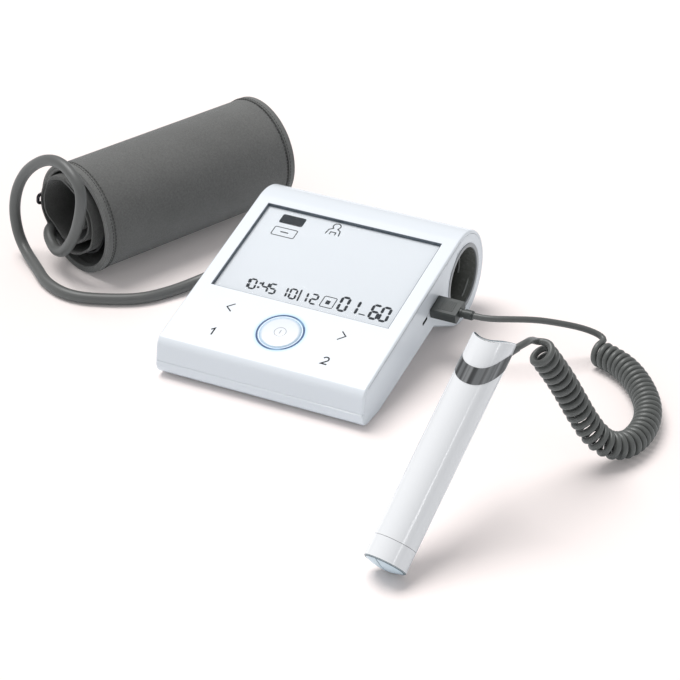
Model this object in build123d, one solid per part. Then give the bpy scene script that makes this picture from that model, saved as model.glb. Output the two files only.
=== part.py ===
from build123d import *
import math
import os

os.makedirs("parts", exist_ok=True)

# Upper arm blood pressure monitor with a plug-in heart-rhythm stick and a rolled cuff.
# Millimetres. X runs along the width, Y away from the user, Z up. The origin is the middle
# of the plane on which the monitor's feet stand.

# Housing of the monitor
WIDTH = 150.0
WALL = 2.4
SEAM_GAP = 0.25
FACE_TILT = 15.0
ROLL_RADIUS = 33.3
ROLL_Y = 61.4
ROLL_LIFT = 0.4
FRONT_LIFT = 1.5
SEAM_HEIGHT = 12.5
FRONT_Y = -80.0
NOSE_Y = -91.6
NOSE_LEAN = 9.0
NOSE_ROUND = 9.0
CHIN_ROUND = 8.0
UNDER_TILT = 12.9
UNDER_START_Y = -72.3
NOTCH_Y = 13.4
EDGE_ROUND = 1.3
BACK_SEAM_ANGLE = -35.0

# Display stack, measured along the face
SCREEN_SIDE = 10.0
SCREEN_WIDTH = WIDTH - 2 * SCREEN_SIDE
SCREEN_HEIGHT = 84.7
SCREEN_START = 47.4
SCREEN_SINK = 1.6
WINDOW_CLEARANCE = 0.2
WINDOW_FLANGE = 1.5
FLANGE_LAP = 0.6
PANEL_MARGIN = 1.6
PANEL_THICKNESS = 2.2
LIGHT_THICKNESS = 3.0
BOARD_THICKNESS = 1.6
BOARD_SIDE = 15.0
BOARD_WIDTH = WIDTH - 2 * BOARD_SIDE
BOARD_START = 7.0
BOARD_LENGTH = 118.0

# Start button and its light ring
BUTTON_UP_FACE = 21.4
BUTTON_RADIUS = 13.9
BUTTON_CLEARANCE = 0.1
BUTTON_HEIGHT = 2.7
BUTTON_DOME = 0.5
BUTTON_FLANGE = 1.2
BUTTON_FLANGE_THICKNESS = 0.9
BUTTON_TRAVEL = 0.8
RING_WIDTH = 2.2
STEM_RADIUS = 2.6
SWITCH_SIDE = 6.2
SWITCH_HEIGHT = 2.2
PLUNGER_RADIUS = 1.7
FOIL_SIDE = 14.0
FOIL_WIDTH = WIDTH - 2 * FOIL_SIDE
FOIL_DEPTH = 36.0
FOIL_THICKNESS = 0.3

# Storage tube for the stick
STORE_BORE = 21.5
STORE_WALL = 2.0
STORE_DEPTH = 129.0
STORE_END = 2.0
TRIM_LIP = 1.0
TRIM_THICKNESS = 1.2
TRIM_PROUD = 0.4

# Battery bay in the underside
CELL_RADIUS = 7.2
CELL_LENGTH = 50.0
CELL_GAP = 0.6
SPRING_LENGTH = 3.0
SPRING_RADIUS = 4.2
SPRING_WALL = 1.0
CONTACT_SIDE = 12.0
CONTACT_THICKNESS = 0.6
CELL_TIP = 2.6
CELL_TIP_HEIGHT = 1.0
CELL_PLAY = 0.15
DOOR_LAP = 2.0
DOOR_LENGTH = 2 * (CELL_LENGTH + SPRING_LENGTH + DOOR_LAP)
DOOR_DEPTH = 34.0
DOOR_THICKNESS = 2.0
DOOR_GAP = 0.3
BAY_UP_FACE = 34.0
BAY_LEDGE = 3.0
TRAY_WALL = 1.4
TRAY_PLAY = 1.0

# Fasteners and feet
BOSS_RADIUS = 3.0
SCREW_RADIUS = 1.3
SCREW_HEAD_RADIUS = 2.4
SCREW_HEAD_DEPTH = 2.6
SCREW_LENGTH = 15.0
BOSS_HEIGHT = 13.0
BOSS_INSET = 6.0
BOSS_PLACES = (12.0, 58.0)
FOOT_EMBED = 0.9
FOOT = (20.0, 7.0)
FOOT_INSET = 23.0
FOOT_SPREAD = WIDTH / 2 - FOOT_INSET

# Pump, valve, sensor and inner tubes
PUMP_RADIUS = 11.5
PUMP_LENGTH = 30.0
PUMP_HEAD_LENGTH = 14.0
PUMP_START_X = -42.0
PUMP_Y = 20.0
PUMP_Z = 33.8
VALVE_RADIUS = 6.0
VALVE_LENGTH = 16.0
VALVE_START_X = 24.0
NIPPLE_RADIUS = 1.6
NIPPLE_LENGTH = 4.0
INNER_TUBE_RADIUS = 2.0
RIB_THICKNESS = 2.0
SENSOR_SIDE = 10.0
SENSOR_HEIGHT = 5.0
SENSOR_X = -30.0
SENSOR_UP_FACE = 66.0
BUZZER_RADIUS = 7.0
BUZZER_HEIGHT = 4.0
BUZZER_INSET = 37.0

# Sockets in the side walls
SOCKET_Y = 15.3
SOCKET_Z = 36.0
PLUG_SHELL = (12.0, 4.5)
PLUG_SHELL_WALL = 0.4
PLUG_INSERTION = 11.5
SLIDE_CLEARANCE = 0.08
SOCKET_WALL = 0.6
SOCKET_DEPTH = 15.0
PORT_Y = 0.5
PORT_Z = 32.4
PORT_SIZE = (7.4, 2.6)
PORT_WALL = 0.35
PORT_DEPTH = 6.0
AIR_HOLE = 3.1
AIR_BODY = 5.0
AIR_FLANGE = 7.0
AIR_FLANGE_THICKNESS = 1.0
AIR_DEPTH = 10.0
AIR_BODY_LENGTH = 14.0

# Plug on the stick's cord
GRIP_WIDTH = 16.0
GRIP_THICKNESS = 7.4
GRIP_LENGTH = 18.0
GRIP_GAP = 0.4
GRIP_CHAMFER = 1.0
GRIP_RIB = 0.35
RELIEF_RADIUS = 3.2
RELIEF_NECK = 2.7
RELIEF_LENGTH = 9.5
CORD_RADIUS = 2.15
CURL_RADIUS = 9.0

# Stick
STICK_RADIUS = 13.3
STICK_WALL = 1.6
STICK_FOOT = (154.7, -225.3)
STICK_AZIMUTH = 81.1
STICK_RISE = 40.8
COLLAR_END = 14.1
CAP_DEPTH = 3.0
CAP_RIM = 1.1
CAP_SPLIT = 0.5
BAND_THICKNESS = 1.0
BAND_STEP = 0.15
STICK_TOP = 160.0
HEAD_ROOT = 106.0
EDGE_TURN = 27.2
BAND_LOWER = ((-13.6, 122.2), (-7.0, 114.5), (0.5, 114.9), (7.5, 120.4), (13.6, 136.4))
BAND_UPPER = ((-13.6, 132.6), (-7.0, 124.9), (0.5, 125.8), (7.5, 132.9), (13.6, 143.9))
SADDLE = ((-13.6, 146.4), (-8.0, 144.7), (-2.0, 145.4), (5.7, 148.3), (13.6, 150.4))
SADDLE_SLOPE = 15.0
EDGE_MARGIN = 8.0
STICK_BOARD = (18.0, 90.0, 1.6)
STICK_BOARD_MIDDLE = 58.0
STICK_RAIL = (3.6, 3.4)
EXIT_HEIGHT = 145.3
EXIT_LEAN = 1.45
EXIT_LENGTH = 5.0
EXIT_RADIUS = 2.9

# Cuff
CUFF_END = (-196.4, 7.8)
CUFF_AZIMUTH = 67.5
CUFF_LENGTH = 166.0
CUFF_RADIUS = 39.6
BINDING_WIDTH = 5.0
BINDING_STEP = 0.4
WRAP_WALL = 3.8
INNER_RADIUS = 31.0
INNER_HOLE = 20.0
INNER_HOLE_CENTRE = (-2.0, 7.5)
INNER_EDGE = 2.6
INNER_PROUD = 4.0
INNER_SHORT = 12.0
LAYER_GAP = 0.02
LAYER_LEAN = 160.0
BLADDER_INSET = 0.9
BLADDER_WALL = 1.4
BLADDER_MARGIN = 10.0
BOW_WIRE = 1.2
BOW_ANGLES = (166.0, 180.0)
BOW_RADIUS = 29.4
BOW_PROUD = 8.0
BOW_GAP = 16.0
BOW_GAP_CENTRE = 3.5
BOW_LENGTH = 140.0
HOSE_RADIUS = 4.0
NIPPLE_COLLAR = 3.4
NIPPLE_COLLAR_LENGTH = 1.6
NIPPLE_ROOT = 2.0
NIPPLE_REACH = 6.0
CHANNEL_CLEARANCE = 0.3

# Air plug on the hose
STEM_LENGTH = 9.2
PLUG_COLLAR = 5.4
PLUG_COLLAR_LENGTH = 2.6
PLUG_BODY = 4.7
ELBOW_X = 11.0
LEG_LENGTH = 15.0
LEG_DIRECTION = (0.0, -0.8, -0.6)
O_RING_WIDTH = 1.0
O_RING_DEPTH = 0.6

# Routes of the free cords, chosen by hand, first point at the monitor or cuff end
HOSE_ROUTE = [
    (-219.0, 23.6, 24.7), (-223.9, 11.6, 24.7), (-209.1, -2.1, 17.1), (-197.7, -8.4, 20.6),
    (-189.6, -12.3, 29.6), (-181.7, -15.6, 42.1), (-175.5, -17.6, 58.1), (-172.8, -17.7, 75.6),
    (-179.9, -13.7, 85.1), (-195.6, -6.0, 89.9), (-213.4, 0.8, 85.3), (-232.4, 7.0, 70.6),
    (-243.4, 9.4, 54.1), (-249.0, 10.7, 34.9), (-246.7, 9.2, 17.6), (-238.3, 4.6, 6.6),
    (-219.8, -9.6, 4.2), (-200.8, -26.4, 4.2), (-175.5, -34.7, 4.2), (-148.5, -25.3, 4.2),
    (-129.7, -14.4, 4.2), (-117.0, 4.2, 4.2), (-107.5, 20.5, 5.6), (-97.0, 30.5, 10.0),
    (-86.0, 41.4, 18.7), (-86.0, 49.4, 24.7),
]
PLUG_LEAD_ROUTE = [
    (103.0, 15.3, 36.0), (113.0, 16.5, 36.2), (126.5, 23.5, 35.4), (140.0, 34.0, 33.0),
    (152.0, 43.5, 28.6), (161.5, 49.8, 22.8), (169.5, 51.6, 18.0), (177.0, 50.5, 16.0),
]
CURL_ROUTE = [
    (178.0, 50.4, 9.2), (192.5, 45.6, 9.2), (208.0, 34.0, 9.2), (223.0, 15.6, 9.2),
    (233.6, -4.7, 9.2), (237.1, -27.0, 9.2), (234.5, -46.0, 10.2), (226.4, -58.0, 14.5),
    (218.0, -63.3, 24.5), (211.4, -67.0, 37.0), (206.3, -72.1, 51.0), (201.1, -77.7, 65.5),
    (195.7, -84.0, 79.0), (191.2, -89.8, 90.0),
]
STICK_LEAD_BENDS = [(190.0, -103.2, 107.7), (192.6, -94.8, 105.5)]
CURL_ARM = CURL_RADIUS - CORD_RADIUS
CURL_BEND = 0.45


def at(plane, shape):
    """The shape, drawn at the origin, put on a plane."""
    return plane * shape


def disc_bar(plane, radius, start, length):
    """A round bar along a plane's normal, from start to start + length."""
    return plane * Pos(0, 0, start + length / 2) * Cylinder(radius, length)


def tube_bar(plane, outer, inner, start, length):
    """A round tube along a plane's normal."""
    return disc_bar(plane, outer, start, length) - disc_bar(plane, inner, start - 1, length + 2)


def slab(plane, size, centre, start, thickness):
    """A plate parallel to a plane, centred at centre, from start along its normal."""
    place = Pos(centre[0], centre[1], start + thickness / 2)
    return plane * place * Box(size[0], size[1], thickness)


def nearest_corner(face, point):
    """The corner of a flat shape that lies nearest to a point."""
    return face.vertices().sort_by_distance((point[0], point[1], 0))[0]


def corner_radii(points, share=CURL_BEND):
    """One bend radius for each inner point, as large as its two runs allow."""
    radii = []
    for before, here, after in zip(points, points[1:], points[2:]):
        run_in = Vector(*here) - Vector(*before)
        run_out = Vector(*after) - Vector(*here)
        half_turn = math.radians(run_in.get_angle(run_out)) / 2
        radii.append(share * min(run_in.length, run_out.length) / math.tan(half_turn))
    return radii


def route_tube(name, points, radius):
    """A round tube along straight runs joined by tangent arcs; prints what it measures."""
    radii = corner_radii(points)
    path = FilletPolyline(*points, radius=radii)
    start = Plane(origin=path @ 0, z_dir=path % 0)
    tube = sweep(start * Circle(radius), path=path, transition=Transition.RIGHT)
    expected = math.pi * radius ** 2 * path.length
    print(f"{name}: length {path.length:.0f} mm, volume over section x length "
          f"{tube.volume / expected:.4f}, radii", [round(r, 1) for r in radii])
    return tube


# Side profile of the housing, in (Y, Z)
ROLL_Z = ROLL_RADIUS + ROLL_LIFT
TILT = math.radians(FACE_TILT)
LEAN = math.tan(math.radians(NOSE_LEAN))
face_touch = (ROLL_Y - ROLL_RADIUS * math.sin(TILT), ROLL_Z + ROLL_RADIUS * math.cos(TILT))
face_middle = face_touch[1] - math.tan(TILT) * face_touch[0]
face_front = face_middle + math.tan(TILT) * FRONT_Y
nose_top_y = (NOSE_Y + (face_middle - SEAM_HEIGHT) * LEAN) / (1 - math.tan(TILT) * LEAN)
nose_top = (nose_top_y, face_middle + math.tan(TILT) * nose_top_y)
chin = (NOSE_Y - (SEAM_HEIGHT - FRONT_LIFT) * LEAN, FRONT_LIFT)
under_start = (UNDER_START_Y, FRONT_LIFT)
notch_z = FRONT_LIFT + math.tan(math.radians(UNDER_TILT)) * (NOTCH_Y - UNDER_START_Y)
notch = (NOTCH_Y, notch_z)
notch_reach = math.hypot(ROLL_Y - NOTCH_Y, ROLL_Z - notch_z)
notch_angle = math.atan2(ROLL_Z - notch_z, ROLL_Y - NOTCH_Y)
ramp_angle = notch_angle - math.asin(ROLL_RADIUS / notch_reach)
ramp_touch = (ROLL_Y + ROLL_RADIUS * math.sin(ramp_angle),
              ROLL_Z - ROLL_RADIUS * math.cos(ramp_angle))
roll_back = (ROLL_Y + ROLL_RADIUS, ROLL_Z)

outline = make_face(
    Polyline(face_touch, nose_top, chin, under_start, notch, ramp_touch)
    + ThreePointArc(ramp_touch, roll_back, face_touch))
outline = fillet(nearest_corner(outline, nose_top), NOSE_ROUND)
outline = fillet(nearest_corner(outline, chin), CHIN_ROUND)
inner_outline = offset(outline, -WALL, kind=Kind.INTERSECTION)
seam_outline = offset(outline, -(WALL + SEAM_GAP), kind=Kind.INTERSECTION)

BEYOND = 80.0
back_ray = math.radians(BACK_SEAM_ANGLE)


def top_zone(drop):
    """The region above the seam line, which drops by a gap for the base cover's side."""
    return make_face(Polyline(
        (NOSE_Y - BEYOND, SEAM_HEIGHT - drop), (UNDER_START_Y, SEAM_HEIGHT - drop),
        (ROLL_Y, ROLL_Z - drop),
        (ROLL_Y + BEYOND * math.cos(back_ray), ROLL_Z + BEYOND * math.sin(back_ray) - drop),
        (ROLL_Y + BEYOND, ROLL_Z + BEYOND), (NOSE_Y - BEYOND, ROLL_Z + BEYOND), close=True))


FACE = Plane(origin=(0, FRONT_Y, face_front), x_dir=(1, 0, 0),
             z_dir=(0, -math.sin(TILT), math.cos(TILT)))
UNDER_ANGLE = math.radians(UNDER_TILT)
UNDER = Plane(origin=(0, UNDER_START_Y, FRONT_LIFT), x_dir=(1, 0, 0),
              z_dir=(0, -math.sin(UNDER_ANGLE), math.cos(UNDER_ANGLE)))
ROLL = Plane(origin=(0, ROLL_Y, ROLL_Z), x_dir=(0, 1, 0), z_dir=(1, 0, 0))


def across(face, width):
    """A side profile carried across the width."""
    return extrude(Plane.YZ * face, amount=width / 2, both=True)


screen_centre = (0, SCREEN_START + SCREEN_HEIGHT / 2)
button_centre = (0, BUTTON_UP_FACE)
BUTTON = FACE * Pos(0, BUTTON_UP_FACE, 0)
ring_inner = BUTTON_RADIUS + BUTTON_CLEARANCE
ring_outer = ring_inner + RING_WIDTH
half_width = WIDTH / 2
inside_half = half_width - WALL
store_outer = STORE_BORE + STORE_WALL
trim_outer = store_outer + TRIM_LIP
boss_x = half_width - BOSS_INSET
boss_places = [(side * boss_x, along) for side in (-1, 1)
               for along in BOSS_PLACES]

# Top cover: the sloping face, the nose and the back wrap
shell_solid = across(outline, WIDTH)
rim_edges = [edge for edge in shell_solid.edges()
             if abs(abs(edge.center().X) - half_width) < 0.01
             and abs(edge.bounding_box().size.X) < 0.01
             and (edge.center().Z > SEAM_HEIGHT + 8 or edge.center().Y < UNDER_START_Y - 6)]
shell_solid = fillet(rim_edges, EDGE_ROUND)
housing_space = across(inner_outline, 2 * inside_half)
top_cover = shell_solid & across((outline - inner_outline) & top_zone(0), WIDTH)
top_cover -= slab(FACE, (SCREEN_WIDTH, SCREEN_HEIGHT), screen_centre, -WALL - 2, WALL + 4)
top_cover -= disc_bar(BUTTON, ring_outer, -WALL - 2, WALL + 4)
for place in boss_places:
    BOSS = UNDER * Pos(place[0], place[1], 0)
    top_boss = disc_bar(BOSS, BOSS_RADIUS, BOSS_HEIGHT, BEYOND) & housing_space
    top_cover += top_boss - disc_bar(BOSS, SCREW_RADIUS, 0, BOSS_HEIGHT + 6)

# Base cover: side walls, underside, ramp and the cheeks of the roll
base_cover = shell_solid - across((outline - seam_outline) & top_zone(SEAM_GAP), WIDTH + 2)
base_cover -= housing_space
for place in boss_places:
    BOSS = UNDER * Pos(place[0], place[1], 0)
    base_cover += disc_bar(BOSS, BOSS_RADIUS, WALL / 2, BOSS_HEIGHT - WALL / 2)
    base_cover -= disc_bar(BOSS, SCREW_HEAD_RADIUS + 0.2, -1, SCREW_HEAD_DEPTH + 1)
    base_cover -= disc_bar(BOSS, SCREW_RADIUS + 0.2, 0, BOSS_HEIGHT + 1)
base_cover -= disc_bar(ROLL, store_outer, 0, half_width + 1)
base_cover -= disc_bar(ROLL, trim_outer, half_width - TRIM_THICKNESS + TRIM_PROUD, 3)


def cradle(x, centre, radius, width):
    """A rib that stands on the underside and holds a round piece from below."""
    block = Pos(x, centre[0], centre[1] - BEYOND / 2) * Box(RIB_THICKNESS, width, BEYOND)
    hole = Plane(origin=(x - RIB_THICKNESS, centre[0], centre[1]), z_dir=(1, 0, 0))
    return (block & housing_space) - disc_bar(hole, radius, 0, 2 * RIB_THICKNESS)


for x in (-36.0, 30.0):
    base_cover += cradle(x, (ROLL_Y, ROLL_Z), store_outer, 2 * store_outer)
for x in (PUMP_START_X + PUMP_HEAD_LENGTH + 5, PUMP_START_X + PUMP_HEAD_LENGTH + 20):
    base_cover += cradle(x, (PUMP_Y, PUMP_Z), PUMP_RADIUS, 1.7 * PUMP_RADIUS)
base_cover += cradle(VALVE_START_X + VALVE_LENGTH / 2, (PUMP_Y, PUMP_Z), VALVE_RADIUS,
                     2.4 * VALVE_RADIUS)

# Openings of the base cover: battery bay, sockets and feet
bay_centre = (0, BAY_UP_FACE)
door_opening = (DOOR_LENGTH + 2 * DOOR_GAP, DOOR_DEPTH + 2 * DOOR_GAP)
base_cover -= slab(UNDER, door_opening, bay_centre, -1, WALL + 2)

RIGHT_SOCKET = Plane(origin=(half_width, SOCKET_Y, SOCKET_Z),
                     x_dir=(0, math.cos(TILT), math.sin(TILT)), z_dir=(1, 0, 0))
cavity = (PLUG_SHELL[0] + 2 * SLIDE_CLEARANCE, PLUG_SHELL[1] + 2 * SLIDE_CLEARANCE)
socket_outer = (cavity[0] + 2 * SOCKET_WALL, cavity[1] + 2 * SOCKET_WALL)
base_cover -= slab(RIGHT_SOCKET, socket_outer, (0, 0), -WALL - 1, WALL + 2)
RIGHT_PORT = Plane(origin=(half_width, PORT_Y, PORT_Z),
                   x_dir=(0, math.cos(TILT), math.sin(TILT)), z_dir=(1, 0, 0))
base_cover -= slab(RIGHT_PORT, PORT_SIZE, (0, 0), -WALL - 1, WALL + 2)
LEFT_AIR = Plane(origin=(-half_width, ROLL_Y, ROLL_Z), x_dir=(0, 1, 0), z_dir=(-1, 0, 0))
base_cover -= disc_bar(LEFT_AIR, AIR_FLANGE, -AIR_FLANGE_THICKNESS, 2)
base_cover -= disc_bar(LEFT_AIR, AIR_BODY, -WALL - 1, WALL + 2)
FLOOR = Plane.XY
front_feet = [slab(FLOOR, FOOT, (side * FOOT_SPREAD, FRONT_Y + 1), 0, FRONT_LIFT + FOOT_EMBED)
              for side in (-1, 1)]
rear_feet = [slab(FLOOR, FOOT, (side * FOOT_SPREAD, ROLL_Y), 0, ROLL_LIFT + FOOT_EMBED)
             for side in (-1, 1)]
for foot in front_feet + rear_feet:
    base_cover -= foot

# Display window, panel, light plate and boards
window_top = (SCREEN_WIDTH - 2 * WINDOW_CLEARANCE, SCREEN_HEIGHT - 2 * WINDOW_CLEARANCE)
window_low = (SCREEN_WIDTH + 2 * FLANGE_LAP, SCREEN_HEIGHT + 4 * FLANGE_LAP)
display_window = slab(FACE, window_top, screen_centre, -WALL, WALL - SCREEN_SINK)
display_window += slab(FACE, window_low, screen_centre, -WALL - WINDOW_FLANGE, WINDOW_FLANGE)
panel_size = (SCREEN_WIDTH - 2 * PANEL_MARGIN, SCREEN_HEIGHT - 2 * PANEL_MARGIN)
panel_level = -WALL - WINDOW_FLANGE - PANEL_THICKNESS
lcd_panel = slab(FACE, panel_size, screen_centre, panel_level, PANEL_THICKNESS)
light_level = panel_level - LIGHT_THICKNESS
backlight = slab(FACE, panel_size, screen_centre, light_level, LIGHT_THICKNESS)
board_level = light_level - BOARD_THICKNESS
board_centre = (0, BOARD_START + BOARD_LENGTH / 2)
main_board = slab(FACE, (BOARD_WIDTH, BOARD_LENGTH), board_centre, board_level, BOARD_THICKNESS)
touch_foil = slab(FACE, (FOIL_WIDTH, FOIL_DEPTH), button_centre, -WALL - FOIL_THICKNESS,
                  FOIL_THICKNESS)
touch_foil -= disc_bar(BUTTON, ring_outer, -WALL - 1, 2)

# Start button, its light ring and its switch
button_ring = tube_bar(BUTTON, ring_outer, ring_inner, -WALL, WALL)
flange_level = -BUTTON_HEIGHT - BUTTON_FLANGE_THICKNESS
flange_radius = BUTTON_RADIUS + BUTTON_FLANGE
switch_top = light_level + SWITCH_HEIGHT
stem_end = switch_top + BUTTON_TRAVEL + 0.1
dome_radius = (BUTTON_RADIUS ** 2 + BUTTON_DOME ** 2) / (2 * BUTTON_DOME)
dome_middle = math.sqrt(dome_radius ** 2 - BUTTON_RADIUS ** 2 / 4) - dome_radius + BUTTON_DOME
cap_profile = make_face(
    Polyline((0, BUTTON_DOME), (0, stem_end), (STEM_RADIUS, stem_end),
             (STEM_RADIUS, flange_level), (flange_radius, flange_level),
             (flange_radius, -BUTTON_HEIGHT), (BUTTON_RADIUS, -BUTTON_HEIGHT),
             (BUTTON_RADIUS, 0))
    + ThreePointArc((BUTTON_RADIUS, 0), (BUTTON_RADIUS / 2, dome_middle),
                    (0, BUTTON_DOME)))
start_button = BUTTON * revolve(Plane.XZ * cap_profile, Axis.Z)
button_switch = slab(BUTTON, (SWITCH_SIDE, SWITCH_SIDE), (0, 0), light_level, SWITCH_HEIGHT - 0.6)
button_switch += disc_bar(BUTTON, PLUNGER_RADIUS, light_level, SWITCH_HEIGHT)

# Storage tube and its trim ring
storage_tube = tube_bar(ROLL, store_outer, STORE_BORE, half_width - STORE_DEPTH, STORE_DEPTH
                        - TRIM_THICKNESS + TRIM_PROUD)
storage_tube += disc_bar(ROLL, store_outer, half_width - STORE_DEPTH, STORE_END)
storage_trim = tube_bar(ROLL, trim_outer, STORE_BORE, half_width - TRIM_THICKNESS + TRIM_PROUD,
                        TRIM_THICKNESS)
storage_trim = fillet(storage_trim.edges().filter_by(GeomType.CIRCLE).sort_by(Axis.X)[-2:], 0.35)

# Battery bay: tray, cells, contacts and door
tray_inner = (door_opening[0] + 2 * TRAY_PLAY, door_opening[1] + 2 * BAY_LEDGE)
tray_outer = (tray_inner[0] + 2 * TRAY_WALL, tray_inner[1] + 2 * TRAY_WALL)
cell_level = DOOR_THICKNESS + 0.9 + CELL_RADIUS
tray_height = cell_level + CELL_RADIUS + 0.3 - WALL
battery_tray = slab(UNDER, tray_outer, bay_centre, WALL, tray_height + TRAY_WALL)
battery_tray -= slab(UNDER, tray_inner, bay_centre, WALL - 1, tray_height + 1)
cell_row = CELL_RADIUS + CELL_GAP / 2
cells = []
contacts = []
for side in (-1, 1):
    row_y = BAY_UP_FACE + side * cell_row
    for step in (-1, 1):
        middle = step * (CELL_LENGTH / 2 + CELL_PLAY)
        CELL = UNDER * Pos(middle, row_y, cell_level) * Rot(0, side * 90, 0)
        cell = CELL * Cylinder(CELL_RADIUS, CELL_LENGTH - CELL_TIP_HEIGHT)
        cell += CELL * Pos(0, 0, CELL_LENGTH / 2) * Cylinder(CELL_TIP, CELL_TIP_HEIGHT)
        cells.append(cell)
        wall_x = tray_inner[0] / 2 - CONTACT_THICKNESS / 2
        contact = slab(UNDER, (CONTACT_THICKNESS, CONTACT_SIDE), (step * wall_x, row_y),
                       cell_level - CONTACT_SIDE / 2, CONTACT_SIDE)
        cell_end = CELL_LENGTH + CELL_PLAY + CELL_TIP_HEIGHT / 2
        reach = tray_inner[0] / 2 - CONTACT_THICKNESS - cell_end
        SPRING = UNDER * Pos(step * (cell_end + reach / 2), row_y, cell_level) * Rot(0, 90, 0)
        spring = SPRING * Cylinder(SPRING_RADIUS, reach)
        spring -= SPRING * Cylinder(SPRING_RADIUS - SPRING_WALL, reach)
        contacts.append(contact + spring)
battery_door = slab(UNDER, (DOOR_LENGTH, DOOR_DEPTH), bay_centre, 0, DOOR_THICKNESS)
battery_door = fillet(battery_door.edges().filter_by(Axis(UNDER.origin, UNDER.z_dir)), 2.0)
latch_y = BAY_UP_FACE + DOOR_DEPTH / 2
battery_door -= slab(UNDER, (16.0, 3.0), (0, latch_y - 4.5), -1, 1.8)
for step in range(5):
    battery_door -= slab(UNDER, (22.0, 0.8), (0, latch_y - 9.0 - 2.0 * step), -1, 1.4)
hook_y = BAY_UP_FACE - DOOR_DEPTH / 2
for x in (-36.0, 36.0):
    hook = slab(UNDER, (9.0, 3.4), (x, hook_y + 1.8), DOOR_THICKNESS, 1.6)
    hook += slab(UNDER, (9.0, 3.0), (x, hook_y - 0.9), DOOR_THICKNESS + 0.6, 1.0)
    battery_door += hook

# Screws
case_screws = []
for place in boss_places:
    BOSS = UNDER * Pos(place[0], place[1], 0)
    screw = disc_bar(BOSS, SCREW_HEAD_RADIUS, SCREW_HEAD_DEPTH - 1.8, 1.8)
    screw += disc_bar(BOSS, SCREW_RADIUS, SCREW_HEAD_DEPTH, SCREW_LENGTH)
    screw -= slab(BOSS, (3.0, 0.6), (0, 0), 0, SCREW_HEAD_DEPTH - 1.0)
    screw -= slab(BOSS, (0.6, 3.0), (0, 0), 0, SCREW_HEAD_DEPTH - 1.0)
    case_screws.append(screw)

# Pump, release valve, pressure sensor and buzzer
PUMP = Plane(origin=(PUMP_START_X, PUMP_Y, PUMP_Z), x_dir=(0, 1, 0), z_dir=(1, 0, 0))
pump_end = PUMP_LENGTH + PUMP_HEAD_LENGTH
air_pump = disc_bar(PUMP, PUMP_RADIUS, 0, PUMP_LENGTH)
air_pump += disc_bar(PUMP, PUMP_RADIUS - 1.2, PUMP_LENGTH, PUMP_HEAD_LENGTH)
air_pump += disc_bar(PUMP, NIPPLE_RADIUS, pump_end, NIPPLE_LENGTH)
VALVE = Plane(origin=(VALVE_START_X, PUMP_Y, PUMP_Z), x_dir=(0, 1, 0), z_dir=(1, 0, 0))
release_valve = disc_bar(VALVE, VALVE_RADIUS, 0, VALVE_LENGTH)
release_valve += disc_bar(VALVE, NIPPLE_RADIUS, -NIPPLE_LENGTH, NIPPLE_LENGTH)
SENSOR = FACE * Pos(SENSOR_X, SENSOR_UP_FACE, board_level)
pressure_sensor = SENSOR * Pos(0, 0, -SENSOR_HEIGHT / 2) * Box(SENSOR_SIDE, SENSOR_SIDE,
                                                               SENSOR_HEIGHT)
sensor_axis = SENSOR * Pos(0, SENSOR_SIDE / 2, -SENSOR_HEIGHT / 2) * Rot(-90, 0, 0)
pressure_sensor += sensor_axis * Pos(0, 0, NIPPLE_LENGTH / 2) * Cylinder(NIPPLE_RADIUS,
                                                                         NIPPLE_LENGTH)
BUZZER = FACE * Pos(half_width - BUZZER_INSET, SENSOR_UP_FACE, board_level)
buzzer = BUZZER * Pos(0, 0, -BUZZER_HEIGHT / 2) * Cylinder(BUZZER_RADIUS, BUZZER_HEIGHT)

# Sockets
ecg_socket = slab(RIGHT_SOCKET, socket_outer, (0, 0), -SOCKET_DEPTH, SOCKET_DEPTH)
ecg_socket -= slab(RIGHT_SOCKET, cavity, (0, 0), -PLUG_INSERTION - 0.6, SOCKET_DEPTH)
tongue_thickness = PLUG_SHELL[1] / 2 - PLUG_SHELL_WALL - 0.35
tongue_size = (PLUG_SHELL[0] - 2 * PLUG_SHELL_WALL - 0.5, tongue_thickness)
tongue_centre = (0, 0.25 + tongue_thickness / 2)
ecg_socket += slab(RIGHT_SOCKET, tongue_size, tongue_centre, -PLUG_INSERTION - 1, PLUG_INSERTION - 1)
data_port = slab(RIGHT_PORT, PORT_SIZE, (0, 0), -PORT_DEPTH, PORT_DEPTH - 0.2)
port_inner = (PORT_SIZE[0] - 2 * PORT_WALL, PORT_SIZE[1] - 2 * PORT_WALL)
data_port -= slab(RIGHT_PORT, port_inner, (0, 0), -PORT_DEPTH + 1, PORT_DEPTH)
data_port += slab(RIGHT_PORT, (port_inner[0] - 1.6, 0.6), (0, 0.2), -PORT_DEPTH + 0.5,
                  PORT_DEPTH - 1.5)
air_socket = disc_bar(LEFT_AIR, AIR_FLANGE, -AIR_FLANGE_THICKNESS, AIR_FLANGE_THICKNESS)
air_socket += disc_bar(LEFT_AIR, AIR_BODY, -AIR_BODY_LENGTH, AIR_BODY_LENGTH)
air_socket -= disc_bar(LEFT_AIR, AIR_HOLE, -AIR_DEPTH, AIR_DEPTH + 1)
socket_nipple_x = -half_width + AIR_BODY_LENGTH - NIPPLE_RADIUS - 0.4
socket_nipple = Plane(origin=(socket_nipple_x, ROLL_Y, ROLL_Z), z_dir=(0, -1, 0))
nipple_tip = AIR_BODY + NIPPLE_LENGTH
air_socket += disc_bar(socket_nipple, NIPPLE_RADIUS, AIR_BODY - 1, NIPPLE_LENGTH + 1)

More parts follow.
